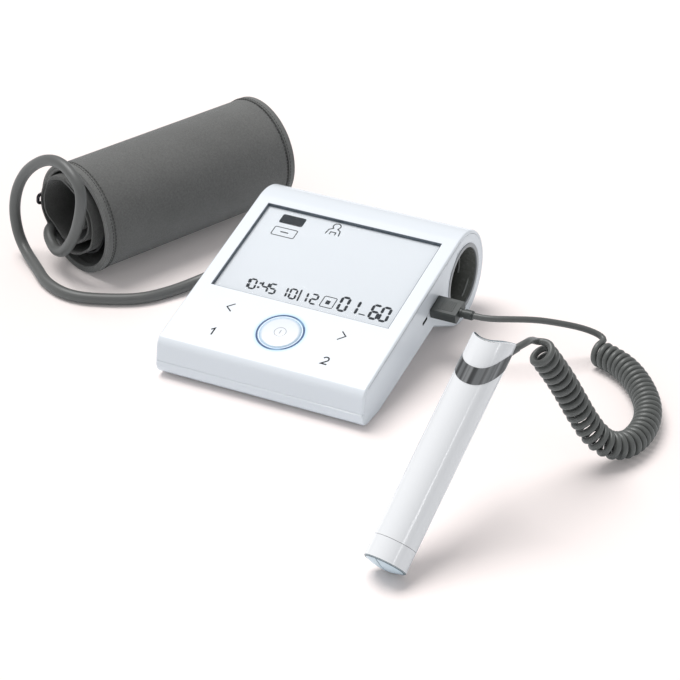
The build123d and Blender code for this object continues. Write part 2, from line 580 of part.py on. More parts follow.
# Inner air tubes: pump to valve, with one branch to the air socket and one to the sensor
pump_outlet_x = PUMP_START_X + pump_end + NIPPLE_LENGTH
valve_inlet_x = VALVE_START_X - NIPPLE_LENGTH
joint_x = (pump_outlet_x + valve_inlet_x) / 2
branch_y = PUMP_Y - PUMP_RADIUS - INNER_TUBE_RADIUS - 0.5
bridge = Plane(origin=(pump_outlet_x, PUMP_Y, PUMP_Z), z_dir=(1, 0, 0))
inner_tubes = disc_bar(bridge, INNER_TUBE_RADIUS, 0, valve_inlet_x - pump_outlet_x)
branch = FilletPolyline((joint_x, PUMP_Y, PUMP_Z), (joint_x, branch_y, PUMP_Z),
                        (socket_nipple_x, branch_y, PUMP_Z),
                        (socket_nipple_x, ROLL_Y - nipple_tip, ROLL_Z), radius=6.0)
inner_tubes += sweep(Plane(origin=branch @ 0, z_dir=branch % 0) * Circle(INNER_TUBE_RADIUS),
                     path=branch)
sensor_tip = (sensor_axis * Pos(0, 0, NIPPLE_LENGTH)).position
sensor_next = (sensor_axis * Pos(0, 0, NIPPLE_LENGTH + 4.0)).position
sensor_path = FilletPolyline((SENSOR_X, branch_y, PUMP_Z), tuple(sensor_next),
                             tuple(sensor_tip), radius=3.0)
inner_tubes += sweep(Plane(origin=sensor_path @ 0, z_dir=sensor_path % 0)
                     * Circle(INNER_TUBE_RADIUS), path=sensor_path)

# Plug of the stick's cord
plug_start = GRIP_GAP
ecg_plug_grip = slab(RIGHT_SOCKET, (GRIP_WIDTH, GRIP_THICKNESS), (0, 0), plug_start, GRIP_LENGTH)
ecg_plug_grip = chamfer(ecg_plug_grip.edges().filter_by(Axis.X), GRIP_CHAMFER)
for side in (-1, 1):
    for step in range(7):
        rib = slab(RIGHT_SOCKET, (9.0, GRIP_RIB * 2), (0, side * GRIP_THICKNESS / 2),
                   plug_start + 4.5 + 1.5 * step, 0.7)
        ecg_plug_grip += rib
plug_shell = slab(RIGHT_SOCKET, PLUG_SHELL, (0, 0), -PLUG_INSERTION, PLUG_INSERTION + plug_start)
shell_space = (PLUG_SHELL[0] - 2 * PLUG_SHELL_WALL, PLUG_SHELL[1] - 2 * PLUG_SHELL_WALL)
plug_shell -= slab(RIGHT_SOCKET, shell_space, (0, 0), -PLUG_INSERTION - 1, PLUG_INSERTION + 1
                   + plug_start)
insulator_thickness = shell_space[1] / 2 - 0.1
plug_insulator = slab(RIGHT_SOCKET, (shell_space[0], insulator_thickness),
                      (0, -shell_space[1] / 2 + insulator_thickness / 2), -PLUG_INSERTION + 0.3,
                      PLUG_INSERTION - 0.3 + plug_start)
relief_start = plug_start + GRIP_LENGTH
plug_relief = disc_bar(RIGHT_SOCKET, RELIEF_NECK, relief_start, RELIEF_LENGTH)
plug_relief += disc_bar(RIGHT_SOCKET, RELIEF_RADIUS, relief_start + 3.6, RELIEF_LENGTH - 3.6 - 0.6)
plug_relief += disc_bar(RIGHT_SOCKET, RELIEF_RADIUS, relief_start, 1.4)
lead_start_x = half_width + relief_start + RELIEF_LENGTH
PLUG_LEAD_ROUTE[0] = (lead_start_x, SOCKET_Y, SOCKET_Z)
PLUG_LEAD_ROUTE[1] = (lead_start_x + 9.0, SOCKET_Y, SOCKET_Z)

# Stick, drawn along its own axis from the tail
rise = math.radians(STICK_RISE)
azimuth = math.radians(STICK_AZIMUTH)
stick_axis = Vector(math.cos(rise) * math.cos(azimuth), math.cos(rise) * math.sin(azimuth),
                    math.sin(rise))
stick_side = Vector(math.sin(azimuth), -math.cos(azimuth), 0)
STICK = Plane(origin=(STICK_FOOT[0], STICK_FOOT[1], STICK_RADIUS * math.cos(rise) + 0.05),
              x_dir=stick_side, z_dir=stick_axis)


def above(edge, slope=0.0):
    """All that lies above a curved edge through (side, level) points, rising to the back."""
    first, last = edge[0], edge[-1]
    face = make_face(
        Spline(*edge)
        + Polyline(last, (last[0] + EDGE_MARGIN, last[1]), (last[0] + EDGE_MARGIN, 2 * STICK_TOP),
                   (first[0] - EDGE_MARGIN, 2 * STICK_TOP), (first[0] - EDGE_MARGIN, first[1]),
                   first))
    middle = sum(point[1] for point in edge) / len(edge)
    block = extrude(Plane.XZ * face, amount=3 * STICK_RADIUS, both=True)
    return EDGES * Pos(0, 0, middle) * Rot(slope, 0, 0) * Pos(0, 0, -middle) * block


EDGES = Plane(STICK * Rot(0, 0, EDGE_TURN))
above_lower = above(BAND_LOWER)
above_upper = above(BAND_UPPER)
above_saddle = above(SADDLE, SADDLE_SLOPE)
head_length = STICK_TOP - HEAD_ROOT
stick_body = tube_bar(STICK, STICK_RADIUS, STICK_RADIUS - STICK_WALL, COLLAR_END,
                      STICK_TOP - COLLAR_END)
stick_body -= above_lower
core_radius = STICK_RADIUS - STICK_WALL
stick_band = tube_bar(STICK, STICK_RADIUS + BAND_STEP, core_radius, HEAD_ROOT, head_length)
stick_band = (stick_band & above_lower) - above_upper
stick_head = disc_bar(STICK, STICK_RADIUS, HEAD_ROOT, head_length) & above_upper
stick_head += disc_bar(STICK, core_radius, HEAD_ROOT, head_length)
stick_head -= above_saddle
stick_collar = tube_bar(STICK, STICK_RADIUS, core_radius, CAP_DEPTH,
                        COLLAR_END - CAP_DEPTH - SEAM_GAP)
tail_rim = STICK_RADIUS - CAP_RIM
tail_plug = disc_bar(STICK, tail_rim, 0, CAP_DEPTH)
stick_collar += tube_bar(STICK, STICK_RADIUS, tail_rim, 0.4, CAP_DEPTH - 0.4)
stick_collar += disc_bar(STICK, core_radius, CAP_DEPTH, 2.0)
split_arc = ThreePointArc((-3.4, STICK_RADIUS + 2), (0.8, 0), (-2.6, -STICK_RADIUS - 2))
left_side = make_face(split_arc + Polyline((-2.6, -STICK_RADIUS - 2), (-30, -STICK_RADIUS - 2),
                                           (-30, STICK_RADIUS + 2), (-3.4, STICK_RADIUS + 2)))
left_block = STICK * extrude(left_side, amount=20, both=True)
right_block = STICK * Pos(CAP_SPLIT, 0, 0) * extrude(left_side, amount=20, both=True)
tail_pad_left = tail_plug & left_block
tail_pad_right = tail_plug - right_block
stick_board = STICK * Pos(0, 0, STICK_BOARD_MIDDLE) * Box(STICK_BOARD[0], STICK_BOARD[2], STICK_BOARD[1])
board_rail = Box(STICK_RAIL[0], STICK_RAIL[1], STICK_BOARD[1])
for side in (-1, 1):
    rail_x = side * (STICK_BOARD[0] / 2 + STICK_RAIL[0] / 2 - 0.2)
    rail = STICK * Pos(rail_x, 0, STICK_BOARD_MIDDLE) * board_rail
    rail = rail & disc_bar(STICK, STICK_RADIUS - 0.5, COLLAR_END, STICK_TOP)
    stick_body += rail - stick_board

exit_side = EDGES.x_dir
exit_direction = (exit_side + stick_axis * EXIT_LEAN).normalized()
exit_seat = STICK.origin + stick_axis * EXIT_HEIGHT + exit_side * (STICK_RADIUS - 2.0)
EXIT = Plane(origin=exit_seat, z_dir=exit_direction)
stick_relief = EXIT * Pos(0, 0, EXIT_LENGTH / 2) * Cone(EXIT_RADIUS, CORD_RADIUS + 0.4, EXIT_LENGTH)
stick_relief -= disc_bar(STICK, STICK_RADIUS, HEAD_ROOT, head_length) & above_upper
stick_relief = stick_relief.solids().sort_by(SortBy.VOLUME)[-1]
exit_tip = exit_seat + exit_direction * EXIT_LENGTH

# Curly cord and its two straight leads
curl_start = Vector(*CURL_ROUTE[0])
curl_start_run = (Vector(*CURL_ROUTE[1]) - curl_start).normalized()
curl_end = Vector(*CURL_ROUTE[-1])
curl_end_run = (curl_end - Vector(*CURL_ROUTE[-2])).normalized()
lead_in = curl_start + Vector(0, 0, CURL_ARM)
lead_before = lead_in - curl_start_run * 9.0
PLUG_LEAD_ROUTE[-1] = tuple(lead_in)
PLUG_LEAD_ROUTE[-2] = tuple(lead_before)
outward = (Vector(1, 0, 0) - curl_end_run * curl_end_run.X).normalized()
lead_out = curl_end + outward * CURL_ARM
first_out = exit_tip + exit_direction * 5.0
over_curl = lead_out + curl_end_run * 6.0
STICK_LEAD_ROUTE = [tuple(exit_tip), tuple(first_out), *STICK_LEAD_BENDS, tuple(over_curl),
                    tuple(lead_out)]
plug_lead = route_tube("plug_lead", PLUG_LEAD_ROUTE, CORD_RADIUS)
curly_cord = route_tube("curly_cord", CURL_ROUTE, CURL_RADIUS)
stick_lead = route_tube("stick_lead", STICK_LEAD_ROUTE, CORD_RADIUS)

# Cuff, drawn from its left end; the plane's normal points out of that end
heading = math.radians(CUFF_AZIMUTH)
cuff_axis = Vector(math.cos(heading), math.sin(heading), 0)
CUFF = Plane(origin=(CUFF_END[0], CUFF_END[1], CUFF_RADIUS),
             x_dir=(math.sin(heading), -math.cos(heading), 0), z_dir=cuff_axis * -1)
wrap_radius = CUFF_RADIUS - BINDING_STEP
wrap_inner = wrap_radius - WRAP_WALL
cuff_wrap = tube_bar(CUFF, wrap_radius, wrap_inner, -CUFF_LENGTH + BINDING_WIDTH,
                     CUFF_LENGTH - 2 * BINDING_WIDTH)
left_binding = tube_bar(CUFF, CUFF_RADIUS, wrap_inner - BINDING_STEP, -BINDING_WIDTH,
                        BINDING_WIDTH)
right_binding = tube_bar(CUFF, CUFF_RADIUS, wrap_inner - BINDING_STEP, -CUFF_LENGTH,
                         BINDING_WIDTH)
inner_drop = wrap_inner - BINDING_STEP - LAYER_GAP - INNER_RADIUS
lean = math.radians(LAYER_LEAN)
INNER = Plane(CUFF * Pos(inner_drop * math.cos(lean), inner_drop * math.sin(lean), 0))
inner_length = CUFF_LENGTH + INNER_PROUD - INNER_SHORT
inner_wrap = disc_bar(INNER, INNER_RADIUS, INNER_PROUD - inner_length, inner_length)
inner_wrap = fillet(inner_wrap.edges().filter_by(GeomType.CIRCLE), INNER_EDGE)
HOLE = INNER * Pos(INNER_HOLE_CENTRE[0], INNER_HOLE_CENTRE[1], 0)
inner_wrap -= disc_bar(HOLE, INNER_HOLE, INNER_PROUD - inner_length - 1, inner_length + 2)
bladder_outer = INNER_RADIUS - BLADDER_INSET
cuff_bladder = tube_bar(INNER, bladder_outer, bladder_outer - BLADDER_WALL,
                        INNER_PROUD - inner_length + BLADDER_MARGIN,
                        inner_length - 2 * BLADDER_MARGIN)
cuff_bladder -= INNER * Pos(-BOW_RADIUS, BOW_GAP_CENTRE, 0) * Box(
    INNER_RADIUS, BOW_GAP, 2 * CUFF_LENGTH)
inner_wrap -= cuff_bladder
channel_path = FilletPolyline(*HOSE_ROUTE[:4], radius=corner_radii(HOSE_ROUTE[:4]))
hose_start = Vector(*HOSE_ROUTE[0])
channel = sweep(Plane(origin=channel_path @ 0, z_dir=channel_path % 0)
                * Circle(HOSE_RADIUS + CHANNEL_CLEARANCE), path=channel_path)
NIPPLE = Plane(origin=hose_start, z_dir=channel_path % 0)
hose_nipple = disc_bar(NIPPLE, NIPPLE_COLLAR, -NIPPLE_COLLAR_LENGTH, NIPPLE_COLLAR_LENGTH)
hose_nipple += disc_bar(NIPPLE, NIPPLE_ROOT, -NIPPLE_COLLAR_LENGTH - NIPPLE_REACH, NIPPLE_REACH)
inner_wrap -= channel
inner_wrap -= hose_nipple
cuff_bladder -= channel
cuff_bladder -= hose_nipple
bow_points = []
for angle, level in ((0, BOW_PROUD), (1, BOW_PROUD), (1, BOW_PROUD - BOW_LENGTH),
                     (0, BOW_PROUD - BOW_LENGTH)):
    turn = math.radians(BOW_ANGLES[angle])
    bow_points.append(INNER.from_local_coords(
        Vector(BOW_RADIUS * math.cos(turn), BOW_RADIUS * math.sin(turn), level)))
bow_path = FilletPolyline(*bow_points, radius=2.4, close=True)
cuff_bow = sweep(Plane(origin=bow_path @ 0, z_dir=bow_path % 0) * Circle(BOW_WIRE), path=bow_path)
inner_wrap -= cuff_bow

# Air plug: straight stem in the monitor's socket, and an angled leg that takes the hose
stem_radius = AIR_HOLE - SLIDE_CLEARANCE
air_plug = disc_bar(LEFT_AIR, stem_radius, -STEM_LENGTH, STEM_LENGTH + 1)
o_ring_level = -STEM_LENGTH + 2.0
o_ring = tube_bar(LEFT_AIR, stem_radius + 0.03, stem_radius - O_RING_DEPTH, o_ring_level,
                  O_RING_WIDTH)
air_plug -= tube_bar(LEFT_AIR, stem_radius + 1, stem_radius - O_RING_DEPTH, o_ring_level,
                     O_RING_WIDTH)
air_plug += disc_bar(LEFT_AIR, PLUG_COLLAR, 0.3, PLUG_COLLAR_LENGTH)
air_plug += disc_bar(LEFT_AIR, PLUG_BODY, 0.3, ELBOW_X - 0.3)
elbow = Vector(-half_width - ELBOW_X, ROLL_Y, ROLL_Z)
LEG = Plane(origin=elbow, z_dir=LEG_DIRECTION)
air_plug += Pos(elbow.X, elbow.Y, elbow.Z) * Sphere(PLUG_BODY)
air_plug += disc_bar(LEG, PLUG_BODY, 0, LEG_LENGTH)
for step in range(3):
    air_plug += disc_bar(LEG, PLUG_BODY + 0.35, 5.0 + 2.4 * step, 1.1)
leg_tip = elbow + Vector(*LEG_DIRECTION) * LEG_LENGTH
leg_next = leg_tip + Vector(*LEG_DIRECTION) * 10.0
HOSE_ROUTE[-1] = tuple(leg_tip)
HOSE_ROUTE[-2] = (leg_next.X, leg_next.Y, leg_next.Z)
air_hose = route_tube("air_hose", HOSE_ROUTE, HOSE_RADIUS)

pieces = {
    "top_cover": top_cover, "base_cover": base_cover, "display_window": display_window,
    "lcd_panel": lcd_panel, "backlight_plate": backlight, "main_board": main_board,
    "touch_key_foil": touch_foil, "start_button": start_button,
    "button_light_ring": button_ring, "button_switch": button_switch,
    "storage_tube": storage_tube, "storage_trim_ring": storage_trim,
    "battery_tray": battery_tray, "battery_cells": Compound(children=cells),
    "battery_contacts": Compound(children=contacts), "battery_door": battery_door,
    "case_screws": Compound(children=case_screws),
    "front_feet": Compound(children=front_feet),
    "rear_feet": Compound(children=rear_feet), "air_pump": air_pump,
    "release_valve": release_valve, "pressure_sensor": pressure_sensor, "buzzer": buzzer,
    "inner_air_tubes": inner_tubes, "ecg_socket": ecg_socket, "data_port": data_port,
    "air_socket": air_socket, "ecg_plug_grip": ecg_plug_grip, "ecg_plug_shell": plug_shell,
    "ecg_plug_insulator": plug_insulator, "ecg_plug_relief": plug_relief,
    "plug_lead": plug_lead, "curly_cord": curly_cord, "stick_lead": stick_lead,
    "stick_relief": stick_relief, "stick_body": stick_body, "stick_band": stick_band,
    "stick_head": stick_head, "stick_collar": stick_collar, "tail_pad_left": tail_pad_left,
    "tail_pad_right": tail_pad_right, "stick_board": stick_board, "cuff_wrap": cuff_wrap,
    "cuff_left_binding": left_binding, "cuff_right_binding": right_binding,
    "cuff_inner_wrap": inner_wrap, "cuff_bladder": cuff_bladder, "cuff_metal_bow": cuff_bow,
    "hose_nipple": hose_nipple, "air_hose": air_hose, "air_plug": air_plug,
    "air_plug_o_ring": o_ring,
}
for name, shape in pieces.items():
    export_step(shape, f"parts/{name}.step")
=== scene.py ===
"""Upper arm blood pressure monitor, its plug-in heart-rhythm stick and its rolled arm cuff.

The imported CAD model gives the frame: X along the monitor's width, Y away from the user and Z up,
with the origin in the plane of the monitor's feet. Sizes are in millimetres, which MM turns into
metres; the places and depths that a finish holds are in metres.
"""

import logging
import math
from dataclasses import dataclass
from enum import Enum
from typing import Iterable, Sequence

import bmesh
import bpy
from mathutils import Matrix, Vector, noise


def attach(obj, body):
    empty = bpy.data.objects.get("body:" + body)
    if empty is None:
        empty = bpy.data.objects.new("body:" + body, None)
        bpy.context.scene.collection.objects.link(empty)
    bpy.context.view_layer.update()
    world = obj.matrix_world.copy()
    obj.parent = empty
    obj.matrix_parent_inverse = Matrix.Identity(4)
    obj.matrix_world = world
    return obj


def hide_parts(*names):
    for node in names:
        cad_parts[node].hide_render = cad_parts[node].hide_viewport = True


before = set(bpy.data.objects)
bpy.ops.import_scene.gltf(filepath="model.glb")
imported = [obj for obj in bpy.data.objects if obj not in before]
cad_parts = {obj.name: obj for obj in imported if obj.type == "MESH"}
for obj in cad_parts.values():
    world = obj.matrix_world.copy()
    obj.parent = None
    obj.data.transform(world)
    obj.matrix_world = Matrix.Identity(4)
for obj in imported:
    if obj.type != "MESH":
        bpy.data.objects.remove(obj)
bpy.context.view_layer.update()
LOG = logging.getLogger("monitor")
MM = 0.001
FULL_TURN = 2 * math.pi
Color = tuple[float, float, float]
Point = tuple[float, float, float]
Spot = Sequence[float]

# Routes of the cords, as in the part's source
HOSE_ROUTE: list[Point] = [
    (-219.0, 23.6, 24.7), (-223.9, 11.6, 24.7), (-209.1, -2.1, 17.1), (-197.7, -8.4, 20.6),
    (-189.6, -12.3, 29.6), (-181.7, -15.6, 42.1), (-175.5, -17.6, 58.1), (-172.8, -17.7, 75.6),
    (-179.9, -13.7, 85.1), (-195.6, -6.0, 89.9), (-213.4, 0.8, 85.3), (-232.4, 7.0, 70.6),
    (-243.4, 9.4, 54.1), (-249.0, 10.7, 34.9), (-246.7, 9.2, 17.6), (-238.3, 4.6, 6.6),
    (-219.8, -9.6, 4.2), (-200.8, -26.4, 4.2), (-175.5, -34.7, 4.2), (-148.5, -25.3, 4.2),
    (-129.7, -14.4, 4.2), (-117.0, 4.2, 4.2), (-107.5, 20.5, 5.6), (-97.0, 30.5, 10.0),
    (-86.0, 41.4, 18.7), (-86.0, 49.4, 24.7),
]
PLUG_LEAD_ROUTE: list[Point] = [
    (102.9, 15.3, 36.0), (111.9, 15.3, 36.0), (126.5, 23.5, 35.4), (140.0, 34.0, 33.0),
    (152.0, 43.5, 28.6), (163.0, 52.6, 23.6), (173.0, 58.4, 18.6), (179.6, 56.6, 16.3),
    (178.0, 50.4, 16.05),
]
CURL_ROUTE: list[Point] = [
    (178.0, 50.4, 9.2), (192.5, 45.6, 9.2), (208.0, 34.0, 9.2), (223.0, 15.6, 9.2),
    (233.6, -4.7, 9.2), (237.1, -27.0, 9.2), (234.5, -46.0, 10.2), (226.4, -58.0, 14.5),
    (218.0, -63.3, 24.5), (211.4, -67.0, 37.0), (206.3, -72.1, 51.0), (201.1, -77.7, 65.5),
    (195.7, -84.0, 79.0), (191.2, -89.8, 90.0),
]
STICK_LEAD_ROUTE: list[Point] = [
    (190.95, -83.7, 93.1), (185.9, -83.8, 92.2), (186.6, -93.5, 99.0), (188.4, -107.8, 104.6),
    (185.3, -111.3, 102.9),
]
# Places across the stick's head and how high its rest is there
REST_LEVELS = ((-13.6, 146.4), (-8.0, 144.7), (-2.0, 145.4), (5.7, 148.3), (13.6, 150.4))


class Body(Enum):
    """The rigid bodies that a piece can ride on."""

    MONITOR = "monitor"
    BUTTON = "start_button"
    DOOR = "battery_door"
    STICK = "ecg_lead"
    CUFF = "cuff"


class Value:
    """A shader socket that takes part in Python expressions."""

    def __init__(self, graph: "Graph", socket: bpy.types.NodeSocket) -> None:
        """Keeps the socket and the graph that it is in."""
        self.graph = graph
        self.socket = socket

    def _math(self, operation: str, *terms: "Term") -> "Value":
        """Adds one Math node."""
        return self.graph.node("ShaderNodeMath", {"operation": operation}, dict(enumerate(terms)))

    def __add__(self, other: "Term") -> "Value":
        """Sum, in either order."""
        return self._math("ADD", self, other)

    __radd__ = __add__

    def __sub__(self, other: "Term") -> "Value":
        """Difference."""
        return self._math("SUBTRACT", self, other)

    def __rsub__(self, other: "Term") -> "Value":
        """Difference with a number first."""
        return self._math("SUBTRACT", other, self)

    def __mul__(self, other: "Term") -> "Value":
        """Product, in either order."""
        return self._math("MULTIPLY", self, other)

    __rmul__ = __mul__

    def __truediv__(self, other: "Term") -> "Value":
        """Quotient."""
        return self._math("DIVIDE", self, other)

    def __abs__(self) -> "Value":
        """Absolute value."""
        return self._math("ABSOLUTE", self)

    def sine(self) -> "Value":
        """Sine of the value in radians."""
        return self._math("SINE", self)

    def most(self, other: "Term") -> "Value":
        """The larger of two values."""
        return self._math("MAXIMUM", self, other)

    def ease(self, low: float, high: float) -> "Value":
        """A smooth step from zero at low to one at high."""
        return self.graph.node("ShaderNodeMapRange", {"interpolation_type": "SMOOTHSTEP"},
                               {0: self, 1: low, 2: high, 3: 0.0, 4: 1.0})

    def part(self, axis: int) -> "Value":
        """One component of a vector."""
        return self.graph.node("ShaderNodeSeparateXYZ", {}, {0: self}, axis)


Term = Value | float


class Graph:
    """The node tree of a material or of the world."""

    def __init__(self, owner: bpy.types.Material | bpy.types.World) -> None:
        """Opens the owner's nodes and finds its output and the shader that it starts with."""
        owner.use_nodes = True
        self.tree = owner.node_tree
        outputs = (node for node in self.tree.nodes if node.type.startswith("OUTPUT"))
        self.end = next(outputs).inputs["Surface"]
        self.shader = self.end.links[0].from_node
        self._place: Value | None = None

    def feed(self, socket: bpy.types.NodeSocket, value: object) -> None:
        """Links a value to a socket, or sets the socket's own value."""
        if isinstance(value, Value):
            self.tree.links.new(value.socket, socket)
        elif isinstance(value, tuple) and socket.type == "RGBA" and len(value) == 3:
            socket.default_value = (*value, 1.0)
        else:
            socket.default_value = value

    def node(self, kind: str, settings: dict | None = None, sockets: dict | None = None,
             output: int | str = 0) -> Value:
        """Adds a node.

        Args:
            kind: The node's type.
            settings: Its own settings, set first; "stops" gives a colour ramp's stops.
            sockets: Values or links by the socket's number or name.
            output: The number or name of the output that is wanted.

        Returns:
            That output.
        """
        made = self.tree.nodes.new(kind)
        for key, value in (settings or {}).items():
            if key == "stops":
                elements = made.color_ramp.elements
                elements[0].position, elements[1].position = value[0][0], value[-1][0]
                elements[0].color, elements[1].color = (*value[0][1], 1), (*value[-1][1], 1)
                for position, color in value[1:-1]:
                    elements.new(position).color = (*color, 1)
            else:
                setattr(made, key, value)
        for key, value in (sockets or {}).items():
            self.feed(made.inputs[key], value)
        return Value(self, made.outputs[output])

    @property
    def place(self) -> Value:
        """The point's place in the row frame, in metres."""
        if self._place is None:
            self._place = self.node("ShaderNodeTexCoord", output="Object")
        return self._place

    def offset(self, origin: Point) -> Value:
        """The vector from a point to the place."""
        return self.node("ShaderNodeVectorMath", {"operation": "SUBTRACT"},
                         {0: self.place, 1: origin})

    def distance(self, origin: Point) -> Value:
        """How far the place is from a point."""
        return self.node("ShaderNodeVectorMath", {"operation": "LENGTH"},
                         {0: self.offset(origin)}, "Value")

    def along(self, origin: Point, axis: Point) -> Value:
        """How far the place is from a point along an axis."""
        return self.node("ShaderNodeVectorMath", {"operation": "DOT_PRODUCT"},
                         {0: self.offset(origin), 1: axis}, "Value")

    def mix(self, factor: Term, first: object, second: object) -> Value:
        """A colour between two colours."""
        return self.node("ShaderNodeMix", {"data_type": "RGBA"}, {0: factor, 6: first, 7: second}, 2)

    def noise(self, scale: float, detail: float = 2.0) -> Value:
        """Soft noise from 0 to 1."""
        return self.node("ShaderNodeTexNoise", {}, {"Vector": self.place, "Scale": scale,
                                                    "Detail": detail})

    def bump(self, height: Term, depth: float, strength: float) -> Value:
        """A normal from a height from 0 to 1 that stands for a depth in metres."""
        return self.node("ShaderNodeBump", {}, {"Strength": strength, "Distance": depth,
                                                "Height": height})

    def surface(self, **sockets: object) -> None:
        """Feeds the Principled shader; a name's underscores stand for blanks."""
        for name, value in sockets.items():
            self.feed(self.shader.inputs[name.replace("_", " ")], value)

    def cover(self, factor: Term, color: Color) -> None:
        """Mixes a colour over the base colour that is already linked."""
        plain = Value(self, self.shader.inputs["Base Color"].links[0].from_socket)
        self.surface(Base_Color=self.mix(factor, plain, color))


@dataclass(frozen=True)
class Finish:
    """A moulded plastic, rubber or metal with slight cloudiness and a fine grain.

    The frame's own materials have the slots' names, so a finish's name is never one of these.
    """

    name: str
    slot: str
    color: Color
    roughness: float = 0.4
    metallic: float = 0.0
    coat: float = 0.0
    cloud: float = 0.04
    cloud_scale: float = 45.0
    grain: float = 0.0
    grain_scale: float = 1400.0
    shine: float = 0.5

    def shade(self, share: float) -> Color:
        """The colour made darker or lighter by a factor."""
        return tuple(c * share for c in self.color)

    def dress(self, graph: Graph) -> None:
        """Builds the nodes."""
        tone = graph.noise(self.cloud_scale, 3.0)
        graph.surface(Base_Color=graph.mix(tone, self.shade(1 - self.cloud), self.color),
                      Roughness=(tone - 0.5) * 0.08 + self.roughness, Metallic=self.metallic,
                      Coat_Weight=self.coat, Specular_IOR_Level=self.shine)
        if self.grain:
            graph.surface(Normal=graph.bump(graph.noise(self.grain_scale), self.grain * MM, 0.6))

    def material(self) -> bpy.types.Material:
        """The finish's material, made once."""
        known = bpy.data.materials.get(self.name)
        if known is None:
            known = bpy.data.materials.new(self.name)
            self.dress(Graph(known))
        return known


@dataclass(frozen=True)
class Woven(Finish):
    """Woven nylon: threads over and under on the piece's own UV map, in metres."""

    thread: float = 0.62
    ribs: float = 0.0
    relief: float = 0.00022

    def dress(self, graph: Graph) -> None:
        """Builds the nodes."""
        sheet = graph.node("ShaderNodeUVMap", {"uv_map": "cloth"})
        across, along = sheet.part(0), sheet.part(1)
        turn = FULL_TURN / (self.thread * MM)
        wobble = graph.noise(220.0) * 0.9
        weave = (across * turn + wobble).sine() * (along * turn + wobble).sine() * 0.5 + 0.5
        patches, fleck, mottle = graph.noise(26.0, 4.0), graph.noise(900.0), graph.noise(760.0, 3.0)
        tone = (weave * 0.2 + patches * 0.25 + fleck * 0.2 + mottle * 0.35).ease(0.32, 0.68)
        height = weave * 0.7 + fleck * 0.3
        if self.ribs:
            height = height + ((along * (FULL_TURN / (self.ribs * MM))).sine() * 0.5 + 0.5) * 0.8
        graph.surface(Base_Color=graph.mix(tone, self.shade(0.78), self.shade(1.2)),
                      Roughness=weave * 0.1 + self.roughness,
                      Normal=graph.bump(height, self.relief, 0.8), Sheen_Weight=0.35,
                      Sheen_Roughness=0.45, Specular_IOR_Level=0.25)


@dataclass(frozen=True)
class DepthShadedLining(Woven):
    """The same weave with painted shade: darker in the depth of the rolled cuff."""

    mouth: Point = (-0.1964, 0.0078, 0.0396)
    inward: Point = (0.38268, 0.92388, 0.0)
    depth: float = 0.04

    def dress(self, graph: Graph) -> None:
        """Builds the nodes."""
        super().dress(graph)
        # Painted shade: the weave fades towards near black deeper inside the roll, away from its
        # mouth.
        inside = graph.along(self.mouth, self.inward) / self.depth
        graph.cover(inside.ease(-0.2, 1.0) * 0.85, (0.008, 0.008, 0.008))


@dataclass(frozen=True)
class Glow(Finish):
    """The light ring: nearly white beside the button, then a dark blue line with painted pale blue
    glints.
    """

    centre: Point = (0.0, 0.0, 0.0)
    inner: float = 0.0140
    width: float = 0.0022
    stops: tuple[tuple[float, Color], ...] = (
        (0.0, (0.80, 0.86, 0.93)), (0.26, (0.70, 0.82, 0.95)), (0.40, (0.03, 0.13, 0.34)),
        (0.52, (0.005, 0.035, 0.11)), (0.88, (0.006, 0.045, 0.14)), (1.0, (0.10, 0.33, 0.70)))

    def dress(self, graph: Graph) -> None:
        """Builds the nodes."""
        across = (graph.distance(self.centre) - self.inner) / self.width
        ramp = graph.node("ShaderNodeValToRGB", {"stops": self.stops}, {0: across})
        # The pale blue spots mixed in by noise are painted glints on the ring; the emission carries
        # them too.
        bright = graph.mix(graph.noise(32.0).ease(0.58, 0.70) * 0.55, ramp, (0.40, 0.74, 1.0))
        graph.surface(Base_Color=bright, Emission_Color=bright, Emission_Strength=0.12,
                      Roughness=self.roughness)


@dataclass(frozen=True)
class Halo(Finish):
    """Glossy plastic that takes a soft blue light beside the ring round the button."""

    centre: Point = (0.0, -0.0593, 0.0358)
    middle: float = 0.0151
    reach: float = 0.0036

    def dress(self, graph: Graph) -> None:
        """Builds the nodes."""
        super().dress(graph)
        away = abs(graph.distance(self.centre) - self.middle) / self.reach
        graph.cover((1 - away.ease(0.25, 1.0)) * 0.7, (0.46, 0.74, 0.98))


@dataclass(frozen=True)
class Pane(Finish):
    """Clear plastic that lets the display show."""

    alpha: float = 0.03

    def dress(self, graph: Graph) -> None:
        """Builds the nodes."""
        smear = graph.noise(60.0)
        graph.surface(Base_Color=self.color, Roughness=smear * 0.05 + self.roughness,
                      Alpha=smear * 0.01 + self.alpha)


@dataclass(frozen=True)
class Screen(Finish):
    """The display's pale ground, a little darker towards one corner."""

    def dress(self, graph: Graph) -> None:
        """Builds the nodes."""
        slope = (graph.place.part(0) + graph.place.part(1)) * 5.0 + 0.5
        cells = (graph.noise(1500.0, 1.0) - 0.5) * 0.1
        graph.surface(Base_Color=graph.mix(slope + cells, self.color, self.shade(1.05)),
                      Roughness=self.roughness, Specular_IOR_Level=0.1)


@dataclass(frozen=True)
class ReflectionStreaked(Finish):
    """Polished dark metal with painted reflections: pale and dark streaks along the stick's axis,
    fixed to the metal.
    """

    foot: Point = (0.1547, -0.2253, 0.0101)
    side: Point = (0.98796, -0.15471, 0.0)
    front: Point = (0.10109, 0.64556, -0.75700)

    def dress(self, graph: Graph) -> None:
        """Builds the nodes."""
        sides = {index: graph.along(self.foot, axis)
                 for index, axis in enumerate((self.side, self.front))}
        turn = graph.node("ShaderNodeMath", {"operation": "ARCTAN2"}, sides)
        # Painted reflection: pale and dark streaks that follow the angle round the stick's axis.
        painted_reflection = graph.node("ShaderNodeTexNoise", {"noise_dimensions": "1D"},
                            {"W": turn * 2.3 + 1.7, "Scale": 1.0, "Detail": 2.0})
        graph.surface(Base_Color=graph.mix(painted_reflection.ease(0.36, 0.62), self.shade(0.30), self.color),
                      Metallic=self.metallic, Roughness=graph.noise(120.0) * 0.08 + self.roughness)


